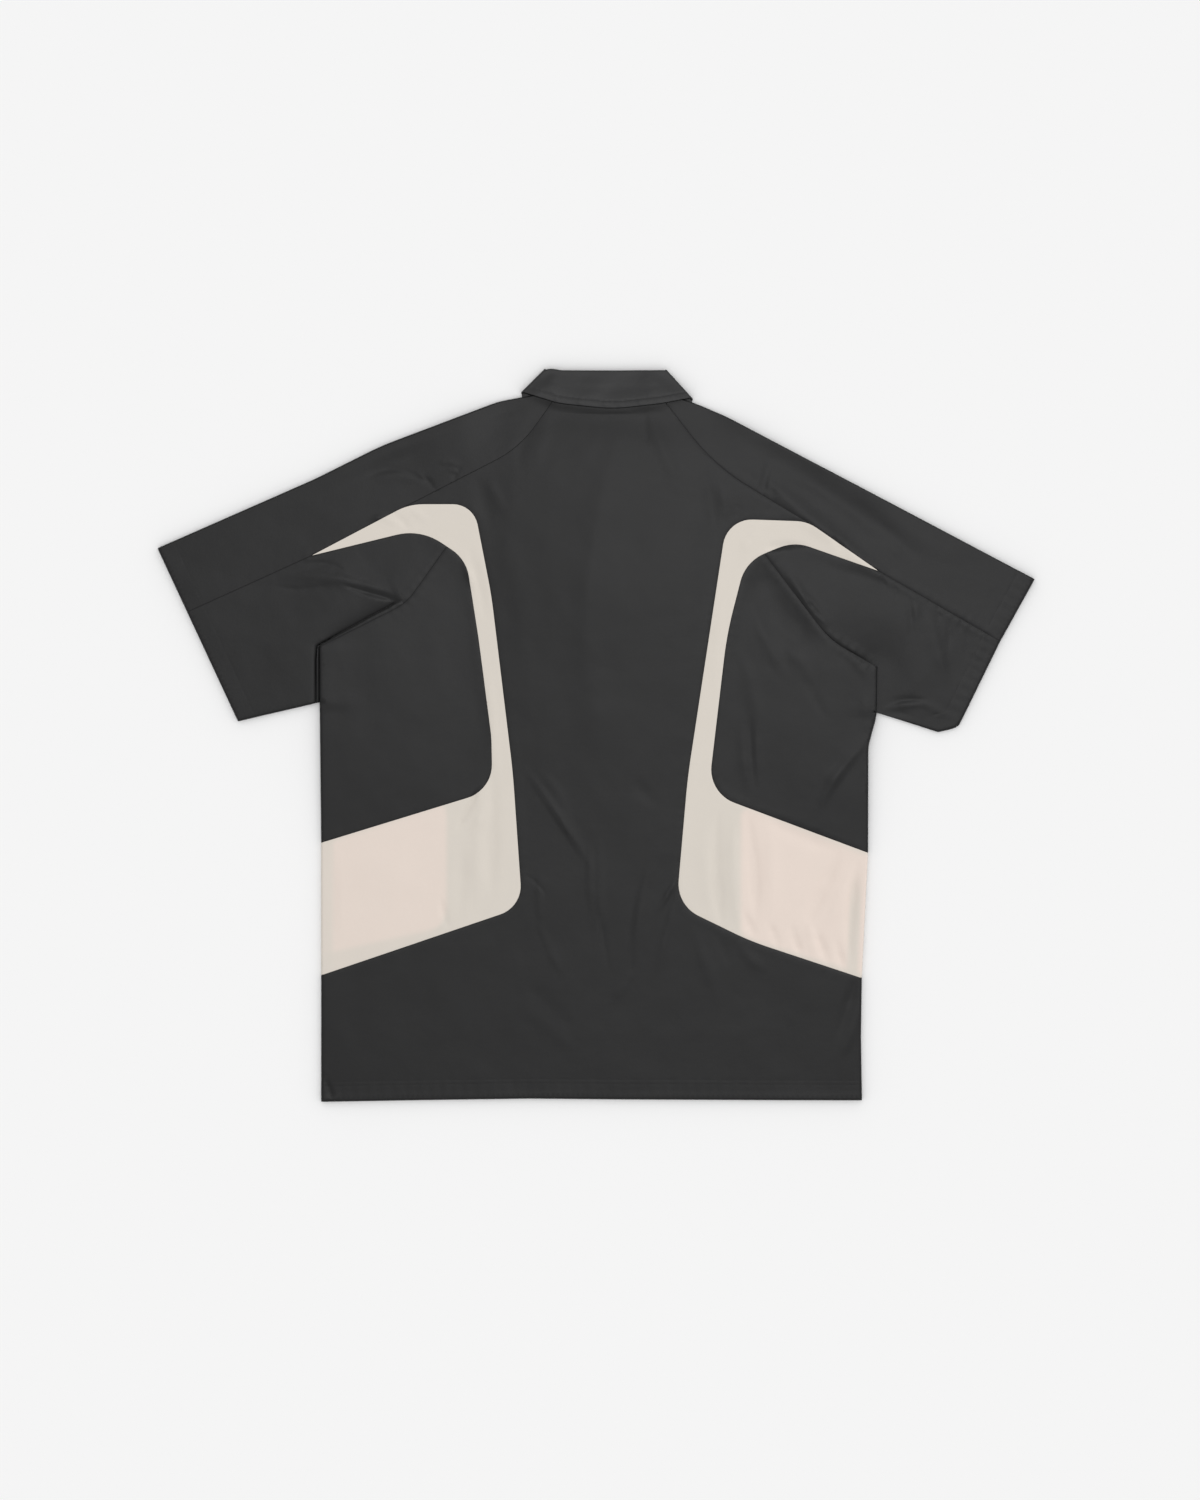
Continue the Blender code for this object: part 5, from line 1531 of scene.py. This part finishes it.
# ---- floor, light and camera ------------------------------------------------------------------------------------------------------
def floor_material():
    mat, tree, shader = nodes_of("pale_floor")
    shader.inputs["Base Color"].default_value = (0.98, 0.98, 0.98, 1)
    shader.inputs["Roughness"].default_value = 1.0
    shader.inputs["Specular IOR Level"].default_value = 0.0
    return mat


mesh = bpy.data.meshes.new("floor")
mesh.from_pydata([(-30, -30, -0.0002), (30, -30, -0.0002), (30, 30, -0.0002), (-30, 30, -0.0002)], [], [(0, 1, 2, 3)])
floor = bpy.data.objects.new("floor", mesh)
bpy.context.scene.collection.objects.link(floor)
mesh.materials.append(floor_material())

world = bpy.data.worlds.new("studio")
bpy.context.scene.world = world
world.use_nodes = True
tree = world.node_tree
background = tree.nodes["Background"]
where = tree.nodes.new("ShaderNodeTexCoord")
parts = tree.nodes.new("ShaderNodeSeparateXYZ")
tree.links.new(where.outputs["Generated"], parts.inputs[0])
ramp = tree.nodes.new("ShaderNodeMapRange")
ramp.inputs["From Min"].default_value = 0.0
ramp.inputs["From Max"].default_value = 1.0
ramp.inputs["To Min"].default_value = 1.14
ramp.inputs["To Max"].default_value = 0.828
tree.links.new(parts.outputs["Z"], ramp.inputs["Value"])
tree.links.new(ramp.outputs["Result"], background.inputs["Strength"])
background.inputs["Color"].default_value = (1, 1, 1, 1)


def area_light(name, place, aim, size, power):
    lamp = bpy.data.lights.new(name, "AREA")
    lamp.shape = "DISK"
    lamp.size = size
    lamp.energy = power
    obj = bpy.data.objects.new(name, lamp)
    obj.location = place
    obj.rotation_euler = (Vector(aim) - Vector(place)).to_track_quat("-Z", "Y").to_euler()
    bpy.context.scene.collection.objects.link(obj)
    return obj


# a softbox above and to the upper right, for the sheen of the dark cloth, and a lower, wider one behind it; both are
# flagged off the floor, which stays even, and the first one off the cream too
lights = [area_light("key", (0.355, 0.66, 3.6), (0, 0, 0), 0.45, 65.0),
          area_light("rake", (3.3, 3.3, 4.2), (0, 0, 0), 1.6, 115.0)]
for light in lights:
    lit = bpy.data.collections.new(f"lit_by_{light.name}")
    for obj in bpy.context.scene.objects:
        if obj.type == "MESH" and obj is not floor and not (light.name == "key" and CREAM_KNIT.name in obj.data.materials):
            lit.objects.link(obj)
    light.light_linking.receiver_collection = lit

PHOTO_CENTRE = (4.2 * MM, -16.0 * MM)
FRAME_HIGH = 1500 * 1.07 * MM
DISTANCE = 6.0
data = bpy.data.cameras.new("camera")
data.type = "PERSP"
data.sensor_width = 36.0
data.lens = 36.0 * DISTANCE / FRAME_HIGH
data.clip_start, data.clip_end = 0.1, 100.0
camera = bpy.data.objects.new("camera", data)
camera.location = (PHOTO_CENTRE[0], PHOTO_CENTRE[1], DISTANCE + 0.004)
camera.rotation_euler = (0, 0, 0)
bpy.context.scene.collection.objects.link(camera)
bpy.context.scene.camera = camera

scene = bpy.context.scene
scene.view_settings.view_transform = "Standard"
scene.view_settings.look = "None"
scene.view_settings.exposure = 0.0
scene.view_settings.gamma = 1.0

bpy.context.view_layer.update()
triangles = {obj.name: len(obj.data.polygons) for obj in scene.objects if obj.type == "MESH"}
